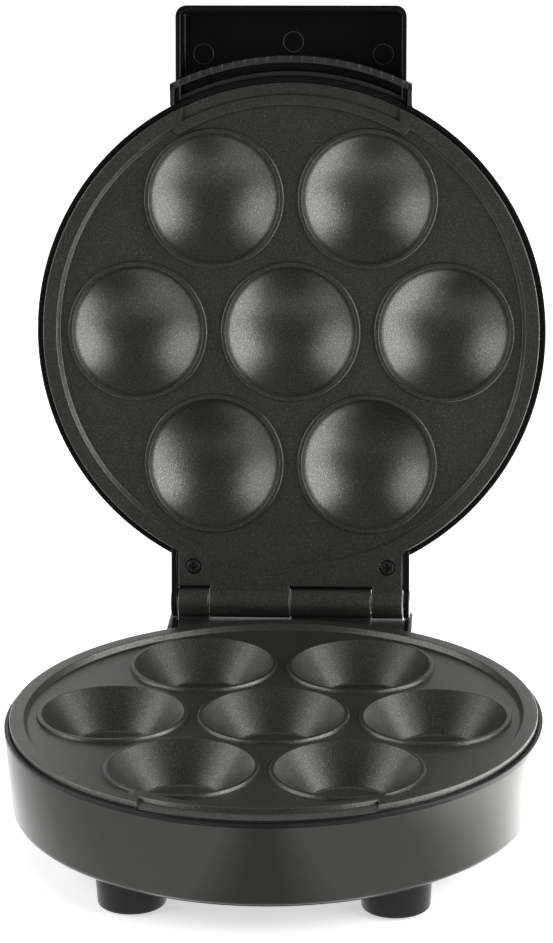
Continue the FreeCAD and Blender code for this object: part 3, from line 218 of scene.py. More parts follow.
def finish_of(name, dark, light, patch_size, roughness, metallic=0.0, speck=0.0, speck_size=0.6,
              grain=0.0, grain_size=0.5, stretch=(1, 1, 1), coat=0.0, sheen=0.0, specular=0.5):
    """A surface whose colour drifts between two tones over patches of a size in millimetres,
    with fine specks of a lighter tone, a roughness that drifts with them, and a fine bump."""
    paint = bpy.data.materials.new(name)
    paint.use_nodes = True
    nodes, link = paint.node_tree.nodes, paint.node_tree.links.new
    shader = nodes["Principled BSDF"]
    shader.inputs["Metallic"].default_value = metallic
    shader.inputs["Coat Weight"].default_value = coat
    shader.inputs["Coat Roughness"].default_value = 0.12
    shader.inputs["Sheen Weight"].default_value = sheen
    shader.inputs["Specular IOR Level"].default_value = specular
    where = nodes.new("ShaderNodeTexCoord")
    scale = nodes.new("ShaderNodeMapping")
    scale.inputs["Scale"].default_value = stretch
    link(where.outputs["Object"], scale.inputs["Vector"])
    drift = nodes.new("ShaderNodeTexNoise")
    drift.inputs["Scale"].default_value = 1 / (patch_size * MM)
    drift.inputs["Detail"].default_value = 4
    link(scale.outputs["Vector"], drift.inputs["Vector"])
    tone = nodes.new("ShaderNodeMix")
    tone.data_type = "RGBA"
    tone.inputs["A"].default_value = (*dark, 1)
    tone.inputs["B"].default_value = (*light, 1)
    link(drift.outputs["Fac"], tone.inputs["Factor"])
    specks = nodes.new("ShaderNodeTexNoise")
    specks.inputs["Scale"].default_value = 1 / (speck_size * MM)
    specks.inputs["Detail"].default_value = 3
    link(scale.outputs["Vector"], specks.inputs["Vector"])
    pick = nodes.new("ShaderNodeMapRange")
    pick.inputs["From Min"].default_value = 0.5
    pick.inputs["From Max"].default_value = 0.72
    pick.inputs["To Max"].default_value = speck
    link(specks.outputs["Fac"], pick.inputs["Value"])
    dust = nodes.new("ShaderNodeMix")
    dust.data_type = "RGBA"
    dust.inputs["B"].default_value = (0.5, 0.5, 0.48, 1)
    link(pick.outputs["Result"], dust.inputs["Factor"])
    link(tone.outputs["Result"], dust.inputs["A"])
    link(dust.outputs["Result"], shader.inputs["Base Color"])
    gloss = nodes.new("ShaderNodeMapRange")
    gloss.inputs["To Min"].default_value = roughness * 0.9
    gloss.inputs["To Max"].default_value = min(1.0, roughness * 1.12)
    link(drift.outputs["Fac"], gloss.inputs["Value"])
    link(gloss.outputs["Result"], shader.inputs["Roughness"])
    pores = nodes.new("ShaderNodeTexNoise")
    pores.inputs["Scale"].default_value = 1 / (grain_size * MM)
    pores.inputs["Detail"].default_value = 2
    link(scale.outputs["Vector"], pores.inputs["Vector"])
    bump = nodes.new("ShaderNodeBump")
    bump.inputs["Strength"].default_value = grain
    bump.inputs["Distance"].default_value = 0.2 * MM
    link(pores.outputs["Fac"], bump.inputs["Height"])
    link(bump.outputs["Normal"], shader.inputs["Normal"])
    return paint


nonstick = finish_of("nonstick_coat", (0.056, 0.056, 0.053), (0.069, 0.068, 0.065), 18, 0.31,
                     metallic=0.8, speck=0.24, speck_size=0.42, grain=0.45, grain_size=0.5)

WELL_SPOTS = [(0.0, 0.0)] + [(WELL_PITCH * math.cos(a), WELL_PITCH * math.sin(a))
                             for a in np.arange(6) * math.pi / 3]


def plate_rim(edge, tab=None, screws=()):
    """The ring from the flat field out to the plate's edge and under it, as lines at an angle a
    from the handle side and stations (radius, height).  A plain and a recess profile have the
    same stations, and a line mixes them with a weight that is 1 between the recess's walls.
    Near a wall a leans so that the line follows x = the recess's half width at every radius.
    At the hinge the edge's radius is the lesser of back / cos and half / sin of the angle, which
    gives a straight-sided tab, and a screw's sink lowers it by an eased step round its spot."""
    plain = [(edge - 8.0, FIELD, 0), (edge - 7.1, FIELD, 0.5), (edge - 5.7, 1, 0.35), (edge - 4.9, 1, 0),
             (edge - FLANGE, 1, 0), (edge, 1, 0.4), (edge, BACK, 0.3), (edge - 3, BACK, 0)]
    recess = [(edge - 10.0, FIELD, 0), (edge - 9.95, FIELD, 0), (edge - 9.1, 1, 0.35),
              (edge - 5.2, 1, 0.35), (edge - FLANGE, -0.7, 0.3), (edge, -1.7, 0.4), (edge, BACK, 0.3),
              (edge - 3, BACK, 0)]
    steps = 5
    plain, recess = filleted(plain, steps), filleted(recess, steps)
    flat = np.linspace(0, 1, 72 if tab else 4)[1:-1, None]
    cut = 5 * steps
    plain, recess = (np.vstack([p[:cut], p[cut - 1] + flat * (p[cut] - p[cut - 1]), p[cut:]])
                     for p in (plain, recess))
    inner = np.arange(len(plain)) < 3 * steps

    wall = math.asin(RECESS_HALF / (edge - 2.4))
    steep = np.array([-1.2, -0.5, -0.3, -0.15, 0, 0.15, 0.3, 0.5, 1.2]) / (edge * math.cos(wall))
    jog = np.radians(np.arange(29.3, 30.5, 0.1))
    a = np.concatenate([np.radians(np.arange(-180, 180, 1.5))] + [s * (wall + steep) for s in (-1, 1)]
                       + [s * jog for s in (-1, 1)])
    if tab:
        half, back = tab
        corners = [math.pi / 2 + math.acos(half / edge), math.pi / 2 + math.atan2(back, half)]
        hole = math.pi / 2 + math.atan2(screws[1][1], screws[1][0])
        near = np.radians(np.arange(-2.4, 2.5, 0.12))
        a = np.concatenate([a] + [s * np.array(corners) for s in (-1, 1)]
                           + [s * (hole + near) for s in (-1, 1)])
    a = np.unique(np.round(a, 6))
    a = np.concatenate([a, [a[0] + 2 * math.pi]])[:, None]

    off = (np.abs(a) - wall) * edge * math.cos(wall)
    outside = smooth((0.3 - off) / 0.6)
    inside = smooth((np.radians(RECESS_TURN) - np.abs(a)) / np.radians(0.7))
    mix = np.where(inner[None, :], inside, outside)
    r = plain[:, 0] + mix * (recess[:, 0] - plain[:, 0])
    z = plain[:, 1] + mix * (recess[:, 1] - plain[:, 1])
    lean = np.arcsin(RECESS_HALF / np.clip(r, edge - 5, edge)) - wall
    lean = lean * np.exp(-((np.abs(a) - wall) / 0.045) ** 2)
    angle = a + np.sign(a) * np.where(np.abs(a) < 1, lean, 0)
    if tab:
        up, side = np.maximum(-np.cos(a), 1e-6), np.maximum(np.abs(np.sin(a)), 1e-6)
        reach = np.where(up > 0.8, np.maximum(edge, np.minimum(back / up, half / side)), edge)
        r = r + (reach - edge) * np.clip((r - (edge - FLANGE)) / FLANGE, 0, 1)
    x, y = r * np.sin(angle), -r * np.cos(angle)
    for spot_x, spot_y in screws:
        sink = smooth((3.4 - np.hypot(x - spot_x, y - spot_y)) / 0.25)
        z = z - 1.6 * sink * (r > edge - FLANGE) * (z > 0.9)
    return np.stack([x, y, z], axis=-1)


def cooking_plate(edge, well, cup, side, tab=None, screws=()):
    """All the skins of one plate: its rim, the flat field between seven wells, the wells, the
    cups behind them and the flat back, with four screw posts and three reflector studs.  Heights
    count towards the other plate, and side turns them into z."""
    rim = plate_rim(edge, tab, screws)
    wells = [turned(well, spot, 108) for spot in WELL_SPOTS]
    cups = [turned(cup, spot, 108) for spot in WELL_SPOTS]
    field = sheet_with_holes(rim[:-1, 0], [w[:-1, 0] for w in wells], FIELD)
    back = sheet_with_holes(rim[:-1, -1], [c[:-1, 0] for c in cups], BACK)
    root = BACK + 0.1
    post = filleted([(0, root, 0), (4, root, 0), (4, -7.1, 0.4), (0, -7.1, 0)])
    stud = filleted([(0, root, 0), (4, root, 0), (3.7, -20.0, 0.4), (0, -20.0, 0)])
    posts = [turned(post, (96 * math.cos(t), 96 * math.sin(t)), 32) for t in np.arange(4) * math.pi / 2]
    studs = [turned(stud, (76 * math.cos(t), 76 * math.sin(t)), 32) for t in np.radians([30, 150, 270])]
    skins = [rim, *wells, *cups, *posts, *studs]
    faced = [np.concatenate([s[..., :2], side(s[..., 2:])], axis=-1) for s in skins]
    flats = [(np.concatenate([p[:, :2], side(p[:, 2:])], axis=1), f) for p, f in (field, back)]
    return faced + flats


cone = filleted([(30.5, FIELD, 0), (30.1, 0, 0.4), (28.5, 0, 0.35), (16, -15, 2.4), (0, -15, 0)], 7)
cone_cup = filleted([(30.5, BACK, 0), (18.2, -17.2, 2.5), (0, -17.2, 0)], 7)
base_tab = [block(-TAB_HALF, TAB_HALF, 96, 121.5, -5.1, -2.1, 0.5)]
base_knuckles = [barrel(-TAB_HALF, -34.4, KNUCKLE, 1.62), barrel(0.15, 34.1, KNUCKLE, 1.62)]
base_arms = [block(x0 + 0.05, x1 - 0.05, 111.5, 121.4, -5.0, AXIS_UP, 0.3)
             for x0, x1 in ((-TAB_HALF, -34.6), (0.35, 33.9))]
lower_skins = cooking_plate(LOWER_EDGE, cone, cone_cup, lambda h: h)
fit("cooking_plate_lower", lower_skins + base_tab + base_knuckles + base_arms, on_base, "base", nonstick,
    ["lower_plate"])


# ---------------------------------------------------------------- upper cooking plate
# The lid's casting, with shallow domes that close the wells below.  Its flange carries the
# same recess at the handle side, and its hinge tab takes two screws in round sinks.

UPPER_EDGE, TAB_BACK = 104.4, 107.9
RIMS_APART = 2.5
TAB_SCREWS = [(-41.0, 99.5), (41.0, 99.5)]
DOME_BALL, DOME_MOUTH, DOME_DEPTH = 40.5, 26.5, 12
dome_turn = np.linspace(math.asin(DOME_MOUTH / DOME_BALL), 0, 22)
dome_height = -DOME_DEPTH + DOME_BALL * (1 - np.cos(dome_turn))
dome_cap = np.stack([DOME_BALL * np.sin(dome_turn), dome_height], axis=1)
dome_ring = filleted([(29.6, FIELD, 0), (29.2, 0, 0.4), (27.6, 0, 0.3), (DOME_MOUTH, -2.05, 0)], 6)
dome = np.vstack([dome_ring, dome_cap[1:]])
dome_cup = filleted([(29.6, BACK, 0), (17.3, -14.2, 2.5), (0, -14.2, 0)], 7)
lid_knuckles = [barrel(-34.1, -0.15, KNUCKLE, 1.68), barrel(34.4, TAB_HALF, KNUCKLE, 1.68)]
lid_arms = [block(x0 + 0.05, x1 - 0.05, 104.9, AXIS_BACK, 1.55, 7.0, 0.3)
            for x0, x1 in ((-33.9, -0.35), (34.6, TAB_HALF))]
upper_skins = cooking_plate(UPPER_EDGE, dome, dome_cup, lambda h: RIMS_APART - h, (TAB_HALF, TAB_BACK),
                            TAB_SCREWS)
fit("cooking_plate_upper", upper_skins + lid_knuckles + lid_arms, on_lid, "lid", nonstick,
    ["upper_plate"])


# ---------------------------------------------------------------- tab screws
# Two black-oxide pan-head screws with a cross recess, sunk in the upper plate's hinge tab.
# They hold the plate's tab to the lid bezel.

SCREW_SEAT = 3.1
black_oxide = finish_of("black_oxide", (0.004, 0.004, 0.004), (0.007, 0.007, 0.007), 1.5, 0.28,
                        metallic=0.3, speck=0.15, speck_size=0.25, grain=0.15, grain_size=0.2)


def cross_head(at, radius=3.0):
    """A low dome with a cross pressed into it: the top is z = 1.35 + 0.4 (1 - (r / radius)^4)
    less 1.1 times the greater of two soft-edged slots, over a side and a flat underside."""
    edge = radius - 0.25
    t = np.linspace(0, 2 * math.pi, 121)[:, None]
    r = np.linspace(0, edge, 40)[None, :]
    x, y = r * np.cos(t), r * np.sin(t)
    slot = [smooth((0.5 - np.abs(u)) / 0.22) * smooth((1.75 - np.abs(v)) / 0.3) for u, v in ((x, y), (y, x))]
    top = 1.35 + 0.4 * (1 - (r / radius) ** 4) - 1.1 * np.maximum(*slot)
    side = filleted([(edge, 1.35 + 0.4 * (1 - (edge / radius) ** 4), 0), (radius, 1.1, 0.2), (radius, 0, 0),
                     (0, 0, 0)], 5)
    rest = turned(side, steps=120)
    head = np.stack([x, y, top], axis=-1)
    return [np.concatenate([g[..., :2] + np.array(at), SCREW_SEAT - g[..., 2:]], axis=-1)
            for g in (head, rest)]


heads = [skin for at in TAB_SCREWS for skin in cross_head(at)]
fit("tab_screw_heads", heads, on_lid, "lid", black_oxide, ["tab_screws"])


# ---------------------------------------------------------------- base bezel and hinge block
# A black moulded ring that holds the lower plate and carries the metal band.  At the back it
# swells into the block under the hinge, with a pocket that the plate's tab lies in.

phenolic = finish_of("black_phenolic", (0.003, 0.003, 0.0032), (0.0045, 0.0045, 0.0047), 9, 0.25,
                     speck=0.01, speck_size=0.4, grain=0.10, grain_size=0.7, specular=0.2)
BLOCK_HALF, BLOCK_FRONT, BLOCK_BACK, BLOCK_LOW = 51.8, 93.5, 122.5, -17
base_ring = filleted([(100, BACK, 0), (105.6, BACK, 0), (105.6, -1.6, 0.25), (107.4, -1.6, 0.5),
                      (107.4, -3.8, 0.25), (105.4, -3.8, 0), (105.4, -10.8, 0.3), (103, -10.8, 0.3),
                      (103, -6.5, 0), (100, -6.5, 0)], 5, closed=True)
hinge_block = [block(x0, x1, BLOCK_FRONT, BLOCK_BACK, BLOCK_LOW, top, 1.1)
               for x0, x1, top in ((-BLOCK_HALF, BLOCK_HALF, -5.15), (-BLOCK_HALF, -47.7, -1.6),
                                   (47.7, BLOCK_HALF, -1.6))]
fit("bezel_of_base", [turned(base_ring, steps=240), *hinge_block], on_base, "base", phenolic,
    ["base_bezel"])


# ---------------------------------------------------------------- base band
# A drawn metal band with a satin gunmetal finish, brushed round its girth, folded in at the
# foot and cut down at the back to clear the hinge block.

BAND_TOP, BAND_FOOT, NOTCH_TOP = -3.8, -37.7, -17.3
BAND_TAPER = 2.5 / 30.4
NOTCH_HALF, GIRTH = 52.1, 106.8
gunmetal = finish_of("gunmetal_satin", (0.046, 0.046, 0.044), (0.050, 0.050, 0.048), 30, 0.17, metallic=1.0,
                     speck=0.02, speck_size=0.5, grain=0.02, grain_size=1.6, stretch=(0.06, 0.06, 6))


def band():
    """A closed profile turned about the axis.  The plain profile reaches the bezel; behind the
    block every line takes the same profile with its top lowered, and the change happens
    between two lines 0.1 mm apart, which makes the notch's upright walls."""
    inner_foot = BAND_FOOT + 0.7
    taper = BAND_TAPER * (BAND_TOP - NOTCH_TOP)
    plain = [(107.3, BAND_TOP, 0.15), (104.8, BAND_FOOT, 3.5), (96, BAND_FOOT, 0.15), (96, inner_foot, 0.15),
             (104.1, inner_foot, 2.9), (106.6, BAND_TOP, 0.15)]
    notch = [(107.3 - taper, NOTCH_TOP, 0.15), *plain[1:5], (106.6 - taper, NOTCH_TOP, 0.15)]
    plain, notch = filleted(plain, 6, closed=True), filleted(notch, 6, closed=True)
    wall = math.asin(NOTCH_HALF / GIRTH)
    gap = 0.05 / GIRTH
    a = np.unique(np.concatenate([np.radians(np.arange(-180, 180, 1.5)),
                                  [s * (wall + d) for s in (-1, 1) for d in (-gap, gap)]]))
    a = np.concatenate([a, [a[0] + 2 * math.pi]])[:, None]
    cut = (np.abs(a) < wall).astype(float)
    r = plain[:, 0] + cut * (notch[:, 0] - plain[:, 0])
    z = plain[:, 1] + cut * (notch[:, 1] - plain[:, 1])
    return np.stack([r * np.sin(a), r * np.cos(a), z], axis=-1)


fit("band_of_base", [band()], on_base, "base", gunmetal, ["base_shell"])


# ---------------------------------------------------------------- feet and pads
# Four black moulded feet, slightly tapered, each with a round rubber pad pressed into its end.

FOOT_SPOTS = {"front_left": (-51.2, -69), "front_right": (51.2, -69), "rear_left": (-51.2, 69),
              "rear_right": (51.2, 69)}
CUP_FLOOR, TABLE = -49.3, -52.5
foot_moulding = finish_of("foot_moulding", (0.004, 0.004, 0.0042), (0.006, 0.006, 0.0062), 5, 0.32,
                          speck=0.02, speck_size=0.4, grain=0.25, grain_size=0.5, specular=0.2)
pad_rubber = finish_of("pad_rubber", (0.012, 0.012, 0.012), (0.020, 0.020, 0.020), 3, 0.75,
                       speck=0.05, speck_size=0.3, grain=0.4, grain_size=0.35, sheen=0.1)
foot_shape = filleted([(0, -39.2, 0), (14.2, -39.2, 0.3), (13.4, -51.7, 1.2), (11, -51.7, 0.3),
                       (11, CUP_FLOOR, 0.2), (0, CUP_FLOOR, 0)], 6)
pad_shape = filleted([(0, -49.35, 0), (10.8, -49.35, 0.2), (10.8, TABLE, 0.9), (0, TABLE, 0)], 6)
for corner, at in FOOT_SPOTS.items():
    fit(f"foot_cup_{corner}", [turned(foot_shape, at, 96)], on_base, "base", foot_moulding,
        [f"foot_{corner}"])
    fit(f"pad_{corner}", [turned(pad_shape, at, 96)], on_base, "base", pad_rubber,
        [f"foot_pad_{corner}"])


# ---------------------------------------------------------------- lid bezel with hinge cheeks
# The lid's black moulded ring, with a rounded cheek on each side of the hinge.  A strip of the
# same moulding backs the plate's tab, and a thin hood reaches over its knuckles.

SHOULDER = 11.6
STRIP_HALF = 47.7
lid_ring = filleted([(100, 6, 0), (104.7, 6, 0), (104.7, 4.1, 0.25), (107, 4.1, 0.5), (107, SHOULDER, 0.4),
                     (105, SHOULDER, 0), (105, 18.6, 0.3), (102.6, 18.6, 0.3), (102.6, 9, 0), (100, 9, 0)],
                    5, closed=True)
cheeks = []
for x0, x1 in ((-50.4, -47.75), (47.75, 50.4)):
    cheeks += [block(x0, x1, 92, AXIS_BACK, 1.5, SHOULDER, 0.5), barrel(x0, x1, 6.3, edge=0.5)]
tab_strip = block(-STRIP_HALF, STRIP_HALF, 93, 104.9, 4.7, SHOULDER, 0.3)
hood = block(-STRIP_HALF, STRIP_HALF, 100, 110.2, 10.2, SHOULDER, 0.3)
fit("bezel_of_lid", [turned(lid_ring, steps=240), tab_strip, hood, *cheeks], on_lid, "lid", phenolic,
    ["lid_bezel"])


# ---------------------------------------------------------------- lid shell
# A shallow metal cover drawn from one sheet, in the same satin gunmetal.  Its edge is rounded,
# its top is slightly crowned, and its rim sits on the lid bezel's shoulder.

LID_TOP, SHEET, CROWN, CROWN_EDGE = 37.6, 0.7, 2.5, 94
crown_r = np.linspace(0, CROWN_EDGE, 40)
crown = np.stack([crown_r, LID_TOP + CROWN * (1 - (crown_r / CROWN_EDGE) ** 2)], axis=1)
shell_edge = filleted([(94.2, LID_TOP, 0), (104.5, LID_TOP, 9.5), (107, SHOULDER, 0.2),
                       (106.3, SHOULDER, 0.2), (103.8, LID_TOP - SHEET, 8.9), (94.2, LID_TOP - SHEET, 0)], 12)
lid_sheet = turned(np.vstack([crown, shell_edge, crown[::-1] - [0, SHEET]]), steps=240)
fit("shell_of_lid", [lid_sheet], on_lid, "lid", gunmetal, ["lid_shell"])


# ---------------------------------------------------------------- handle
# A hollow moulded grip, open underneath.  Its walls are 2.2 mm thick with rounded corners, and
# three round marks on the inside show where the mould's pins pushed it out.

GRIP_HALF, GRIP_FRONT, GRIP_CORNER = 48.4, 136.4, 4.6
GRIP_LIP, GRIP_ROOF, GRIP_CEILING = 3, 23, 20.8
SIDE_STEPS, BACK_STEPS = 12, 40
grip_plastic = finish_of("grip_plastic", (0.002, 0.002, 0.0022), (0.003, 0.003, 0.0032), 12, 0.22,
                         speck=0.01, speck_size=0.5, grain=0.12, grain_size=0.6, specular=0.25)


def grip_loop(inset):
    """The handle's outline set in by a distance: two sides, two quarter-round corners and the
    front, closed at the back by the lid's own circle."""
    half, front = GRIP_HALF - inset, inset - GRIP_FRONT
    corner = max(GRIP_CORNER - inset, 0.8)
    reach = 107.1 + 0.3 * inset
    rear = -math.sqrt(reach ** 2 - half ** 2)
    run, turn = np.linspace(0, 1, SIDE_STEPS), np.linspace(0, math.pi / 2, 9)
    side = np.stack([np.full(SIDE_STEPS, half), rear + run * (front + corner - rear)], axis=1)
    bend = np.stack([half - corner + corner * np.cos(turn), front + corner - corner * np.sin(turn)], axis=1)
    forward = np.vstack([side, bend[1:]])
    around = np.vstack([forward, forward[::-1] * [-1, 1]])
    swing = np.linspace(-1, 1, BACK_STEPS)[:, None] * math.asin(half / reach)
    back = np.hstack([reach * np.sin(swing), -reach * np.cos(swing)])
    return np.vstack([around, back])


def grip():
    """Stations of (inset, height) run from the roof's edge down the outer wall, round the lip
    and up the inner wall.  Along the back the lip's height is raised to the roof, so that
    there is no wall; flat sheets close the roof inside and out."""
    stations = filleted([(4.2, GRIP_ROOF, 0), (2.9, GRIP_ROOF, 0), (0.35, GRIP_ROOF, 1.8), (0, GRIP_LIP, 0.5),
                         (2.2, GRIP_LIP, 0.5), (2.4, GRIP_CEILING, 0.6), (3.4, GRIP_CEILING, 0),
                         (4.2, GRIP_CEILING, 0)], 8)
    loops = np.stack([grip_loop(inset) for inset in stations[:, 0]], axis=1)
    front = len(loops) - BACK_STEPS
    walled = (np.arange(len(loops)) < front)[:, None]
    height = np.where(walled, stations[:, 1], np.maximum(stations[:, 1], GRIP_CEILING))
    wall = np.concatenate([loops, height[..., None]], axis=-1)
    wall = np.concatenate([wall, wall[:1]])
    keep = np.r_[0:front - 1, front:len(loops) - 1]
    roof = sheet_with_holes(wall[keep, 0], [], GRIP_ROOF)
    ceiling = sheet_with_holes(wall[keep, -1], [], GRIP_CEILING)
    return [wall, roof, ceiling]


fit("grip", grip(), on_lid, "lid", grip_plastic, ["handle"])

burr = finish_of("pin_mark_burr", (0.03, 0.03, 0.03), (0.05, 0.05, 0.05), 2, 0.4, speck=0.05, speck_size=0.3,
                 grain=0.3, grain_size=0.3)
burr_ring = filleted([(4.0, 20.85, 0), (4.4, 20.85, 0), (4.4, 20.5, 0.12), (4.0, 20.5, 0.12)], 4, closed=True)
pin_marks = [turned(burr_ring, at, 64) for at in ((-38, -115.8), (38, -115.8), (0, -121.0))]
fit("pin_marks", pin_marks, on_lid, "lid", burr, ["handle"])


# ---------------------------------------------------------------- heat guard
# A curved fence between the lid's edge and the fingers, moulded in short flats whose joints
# stand a little proud, with an end wall on each side.

GUARD_HALF = 50.7


def guard():
    """A closed section of (radius, height) carried along an arc: at every radius r the line with
    the share u stands at the angle u asin(half / r), so both ends are flat.  On a joint between
    two flats the outer radius is raised by 0.18 and the lip lowered by 0.12."""
    section = filleted([(115.5, 2, 0.35), (115.5, 20.7, 0), (106.15, 20.7, 0), (107.06, SHOULDER, 0),
                        (107.06, 6, 0.3), (109.1, 6, 0.3), (109.1, 18, 0.4), (112.7, 18, 0.4),
                        (112.7, 2, 0.35)], 4, closed=True)
    joints = np.arange(-10, 11) / 10.9
    u = np.unique(np.concatenate([[-1, 1]] + [joints + d for d in (-0.009, 0.0, 0.009)]))[:, None]
    ridge = np.isclose(np.abs(u - joints).min(1, keepdims=True), 0, atol=1e-6)
    r = section[:, 0] + 0.18 * ridge * (section[:, 0] > 115)
    b = u * np.arcsin(GUARD_HALF / r)
    z = section[:, 1] - 0.12 * ridge * (section[:, 1] < 2.5)
    fence = np.stack([r * np.sin(b), -r * np.cos(b), z], axis=-1)
    flat, faces = sheet_with_holes(section[:-1], [], 0)
    depth = -np.sqrt(flat[:, 0] ** 2 - GUARD_HALF ** 2)
    caps = [(np.stack([np.full(len(flat), end), depth, flat[:, 1]], axis=1), faces)
            for end in (-GUARD_HALF, GUARD_HALF)]
    ends = [block(x0, x1, -103.4, -94.7, 2, 19, 0.2) for x0, x1 in ((-50.6, -48.8), (48.8, 50.6))]
    return [fence, *caps, *ends]


guard_plastic = finish_of("guard_plastic", (0.008, 0.008, 0.0082), (0.014, 0.014, 0.0142), 6, 0.35,
                          speck=0.04, speck_size=0.4, grain=0.2, grain_size=0.5)
fit("guard_fence", guard(), on_lid, "lid", guard_plastic, ["heat_guard"], crease=25)


# ---------------------------------------------------------------- lamp lenses
# Two small domed lenses moulded in acrylic, red for power and green for ready.  Each is pressed
# into a hole in the lid's top, over its lamp.

LENSES = {"power": (-9.0, (0.45, 0.015, 0.01), "red_lens"), "ready": (9.0, (0.02, 0.32, 0.05), "green_lens")}
lens_shape = filleted([(0, 36, 0), (3.9, 36, 0), (3.9, 38.5, 0.4), (3.2, 38.95, 0.6), (0, 39, 0)], 8)
for job, (across, tint, slot) in LENSES.items():
    bright_tint = tuple(1.25 * c for c in tint)
    acrylic = finish_of(f"{job}_acrylic", tint, bright_tint, 1.2, 0.08, coat=0.6, speck=0.02, speck_size=0.3,
                        grain=0.03, grain_size=0.8)
    fit(f"{job}_lens_dome", [turned(lens_shape, (across, -80.0), 64)], on_lid, "lid", acrylic,
        [f"{job}_lens"])


# ---------------------------------------------------------------- pieces kept from the frame
# Plain turned, pressed and bent pieces, most of them inside: the pin, gland, cover, fasteners,
# heaters, reflectors, thermostats, terminal block and leads.  They keep their own shapes.

cover_paint = finish_of("cover_powder_coat", (0.010, 0.010, 0.010), (0.016, 0.016, 0.016), 14, 0.48,
                        speck=0.04, speck_size=0.5, grain=0.5, grain_size=0.7)
pin_steel = finish_of("pin_steel", (0.50, 0.49, 0.48), (0.62, 0.61, 0.60), 2, 0.24, metallic=1.0, grain=0.08,
                      grain_size=0.3, stretch=(8, 1, 1))
zinc = finish_of("zinc_plate", (0.48, 0.48, 0.50), (0.60, 0.59, 0.55), 1.5, 0.32, metallic=1.0, speck=0.1,
                 speck_size=0.2, grain=0.1, grain_size=0.25)
gland_nylon = finish_of("gland_nylon", (0.014, 0.014, 0.014), (0.020, 0.020, 0.020), 4, 0.5, grain=0.25,
                        grain_size=0.4, speck=0.03, speck_size=0.3)
sheath = finish_of("heater_sheath", (0.16, 0.14, 0.12), (0.30, 0.27, 0.22), 8, 0.42, metallic=1.0, speck=0.12,
                   speck_size=0.4, grain=0.15, grain_size=0.4)
bright = finish_of("bright_sheet", (0.62, 0.62, 0.63), (0.74, 0.74, 0.75), 22, 0.2, metallic=1.0, grain=0.06,
                   grain_size=0.8, stretch=(1, 7, 1), speck=0.04, speck_size=0.3)
steatite = finish_of("steatite", (0.66, 0.62, 0.54), (0.76, 0.73, 0.66), 3, 0.7, speck=0.2, speck_size=0.25,
                     grain=0.3, grain_size=0.3)
sleeve = finish_of("glass_sleeve", (0.58, 0.56, 0.50), (0.74, 0.72, 0.66), 2, 0.85, speck=0.1, speck_size=0.3,
                   grain=0.6, grain_size=0.25)
lamp_glass = finish_of("lamp_glass", (0.75, 0.70, 0.66), (0.85, 0.80, 0.76), 2, 0.05, coat=0.5, grain=0.03,
                       grain_size=0.5, speck=0.02, speck_size=0.2)
KEPT = {
    "bottom_cover": cover_paint, "hinge_pin": pin_steel, "cord_gland": gland_nylon,
    "cover_screws": zinc, "foot_screws": zinc, "lower_plate_screws": zinc, "upper_plate_screws": zinc,
    "lower_reflector_screws": zinc, "upper_reflector_screws": zinc,
    "guard_screws": black_oxide, "handle_screws": black_oxide,
    "lower_heater": sheath, "upper_heater": sheath,
    "lower_reflector": bright, "upper_reflector": bright, "thermal_fuse": bright, "fuse_clip": bright,
    "lower_thermostat": steatite, "upper_thermostat": steatite, "terminal_block": steatite,
    "heater_leads": sleeve, "power_lamp": lamp_glass, "ready_lamp": lamp_glass}
for node_name, finish in KEPT.items():
    for material_slot in frame["nodes"][node_name].material_slots:
        material_slot.material = finish


# ---------------------------------------------------------------- studio
# A white floor between two soft boxes set a little in front, with a broad light overhead.  The
# floor's material paints a reflection: glossy rays see a painted emission, darker along the middle
# and in front where black cards would stand, and brighter to the right, which draws the soft stripes in the
# metal.

floor_mesh = bpy.data.meshes.new("floor")
floor_mesh.from_pydata([(-6, -4, 0), (6, -4, 0), (6, 9, 0), (-6, 9, 0)], [], [(0, 1, 2, 3)])
floor = bpy.data.objects.new("floor", floor_mesh)
bpy.context.scene.collection.objects.link(floor)
paper = bpy.data.materials.new("white_paper_with_painted_reflection")
paper.use_nodes = True
nodes, link = paper.node_tree.nodes, paper.node_tree.links.new
lit = nodes["Principled BSDF"]
lit.inputs["Roughness"].default_value = 0.7
lit.inputs["Base Color"].default_value = (0.9, 0.9, 0.9, 1)
lit.inputs["Emission Color"].default_value = (1, 1, 1, 1)
lit.inputs["Emission Strength"].default_value = 0.55
floor_place = nodes.new("ShaderNodeTexCoord")
axes = nodes.new("ShaderNodeSeparateXYZ")
link(floor_place.outputs["Object"], axes.inputs["Vector"])


def ramp(value, low, high, at_low, at_high):
    """A node whose output eases from one value to another while the input runs from low to high."""
    node = nodes.new("ShaderNodeMapRange")
    node.interpolation_type = "SMOOTHSTEP"
    for socket, number in (("From Min", low), ("From Max", high), ("To Min", at_low), ("To Max", at_high)):
        node.inputs[socket].default_value = number
    link(value, node.inputs["Value"])
    return node.outputs["Result"]


def combined(operation, first, second=0.0):
    """A maths node of two inputs, each of them a node's output or a number."""
    node = nodes.new("ShaderNodeMath")
    node.operation = operation
    for socket, value in zip(node.inputs, (first, second)):
        if isinstance(value, float):
            socket.default_value = value
        else:
            link(value, socket)
    return node.outputs["Value"]


# Painted reflection: masks for the floor's emission in glossy rays, darker along the middle, brighter to the
# right and darker in front.
stripe = ramp(combined("ABSOLUTE", axes.outputs["X"]), 0.008, 0.05, 0.5, 1.0)
right = ramp(combined("ADD", axes.outputs["X"], axes.outputs["Y"]), -0.05, 0.16, 1.4, 5.5)
near = ramp(axes.outputs["Y"], -0.5, -0.3, 0.2, 1.0)
# The painted reflection itself: an emission that only glossy rays see, in place of real cards and lamps.
painted_reflection = nodes.new("ShaderNodeEmission")
link(combined("MULTIPLY", combined("MULTIPLY", stripe, right), near), painted_reflection.inputs["Strength"])
ray = nodes.new("ShaderNodeLightPath")
either = nodes.new("ShaderNodeMixShader")
link(ray.outputs["Is Glossy Ray"], either.inputs["Fac"])
link(lit.outputs["BSDF"], either.inputs[1])
link(painted_reflection.outputs["Emission"], either.inputs[2])
link(either.outputs["Shader"], nodes["Material Output"].inputs["Surface"])
floor_mesh.materials.append(paper)

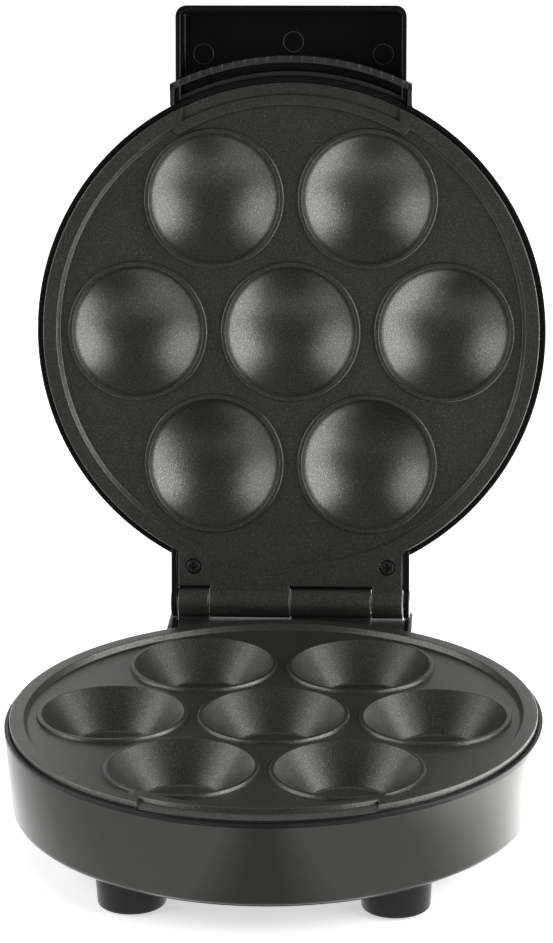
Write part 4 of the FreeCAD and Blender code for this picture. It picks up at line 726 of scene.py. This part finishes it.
studio = bpy.data.worlds.new("studio")
studio.use_nodes = True
sky, join = studio.node_tree.nodes, studio.node_tree.links.new
facing = sky.new("ShaderNodeTexCoord")
parts = sky.new("ShaderNodeSeparateXYZ")
join(facing.outputs["Generated"], parts.inputs["Vector"])
backdrop = sky.new("ShaderNodeMapRange")
for socket, number in (("From Min", 0.0), ("From Max", 0.7), ("To Min", 0.12), ("To Max", 0.9)):
    backdrop.inputs[socket].default_value = number
join(parts.outputs["Y"], backdrop.inputs["Value"])
sky["Background"].inputs["Color"].default_value = (1, 1, 1, 1)
join(backdrop.outputs["Result"], sky["Background"].inputs["Strength"])
bpy.context.scene.world = studio

base_spot = Vector((0, middle_y, rim_z))


def soft_light(name, place, width, height, power, in_reflections=True):
    """A rectangular light turned to face the middle of the appliance; one that is left out of
    reflections lights the surfaces without showing in them."""
    lamp = bpy.data.lights.new(name, "AREA")
    lamp.shape = "RECTANGLE"
    lamp.size, lamp.size_y, lamp.energy = width, height, power
    holder = bpy.data.objects.new(name, lamp)
    bpy.context.scene.collection.objects.link(holder)
    holder.location = place
    holder.rotation_euler = (base_spot - holder.location).to_track_quat("-Z", "Y").to_euler()
    holder.visible_glossy = in_reflections


soft_light("left_box", Vector((-1.45, -0.45, 0.65)), 1.7, 1.3, 23)
soft_light("right_box", Vector((1.45, -0.45, 0.65)), 1.7, 1.3, 38)
soft_light("overhead", Vector((0.0, 0.4, 2.0)), 1.4, 1.4, 20, in_reflections=False)

camera = bpy.data.cameras.new("camera")
camera.sensor_width = 36
camera.lens = 167.4
eye = base_spot + Vector((0.1122, -1.625, 0.645))
aim = base_spot + Vector((0.0025, 0.0, 0.1018))
facing_aim = (aim - eye).to_track_quat("-Z", "Y").to_matrix().to_4x4()
roll = Matrix.Rotation(math.radians(-0.76), 4, "Z")
viewpoint = bpy.data.objects.new("camera", camera)
bpy.context.scene.collection.objects.link(viewpoint)
viewpoint.matrix_world = Matrix.Translation(eye) @ facing_aim @ roll
bpy.context.scene.camera = viewpoint
bpy.context.scene.view_settings.view_transform = "Standard"
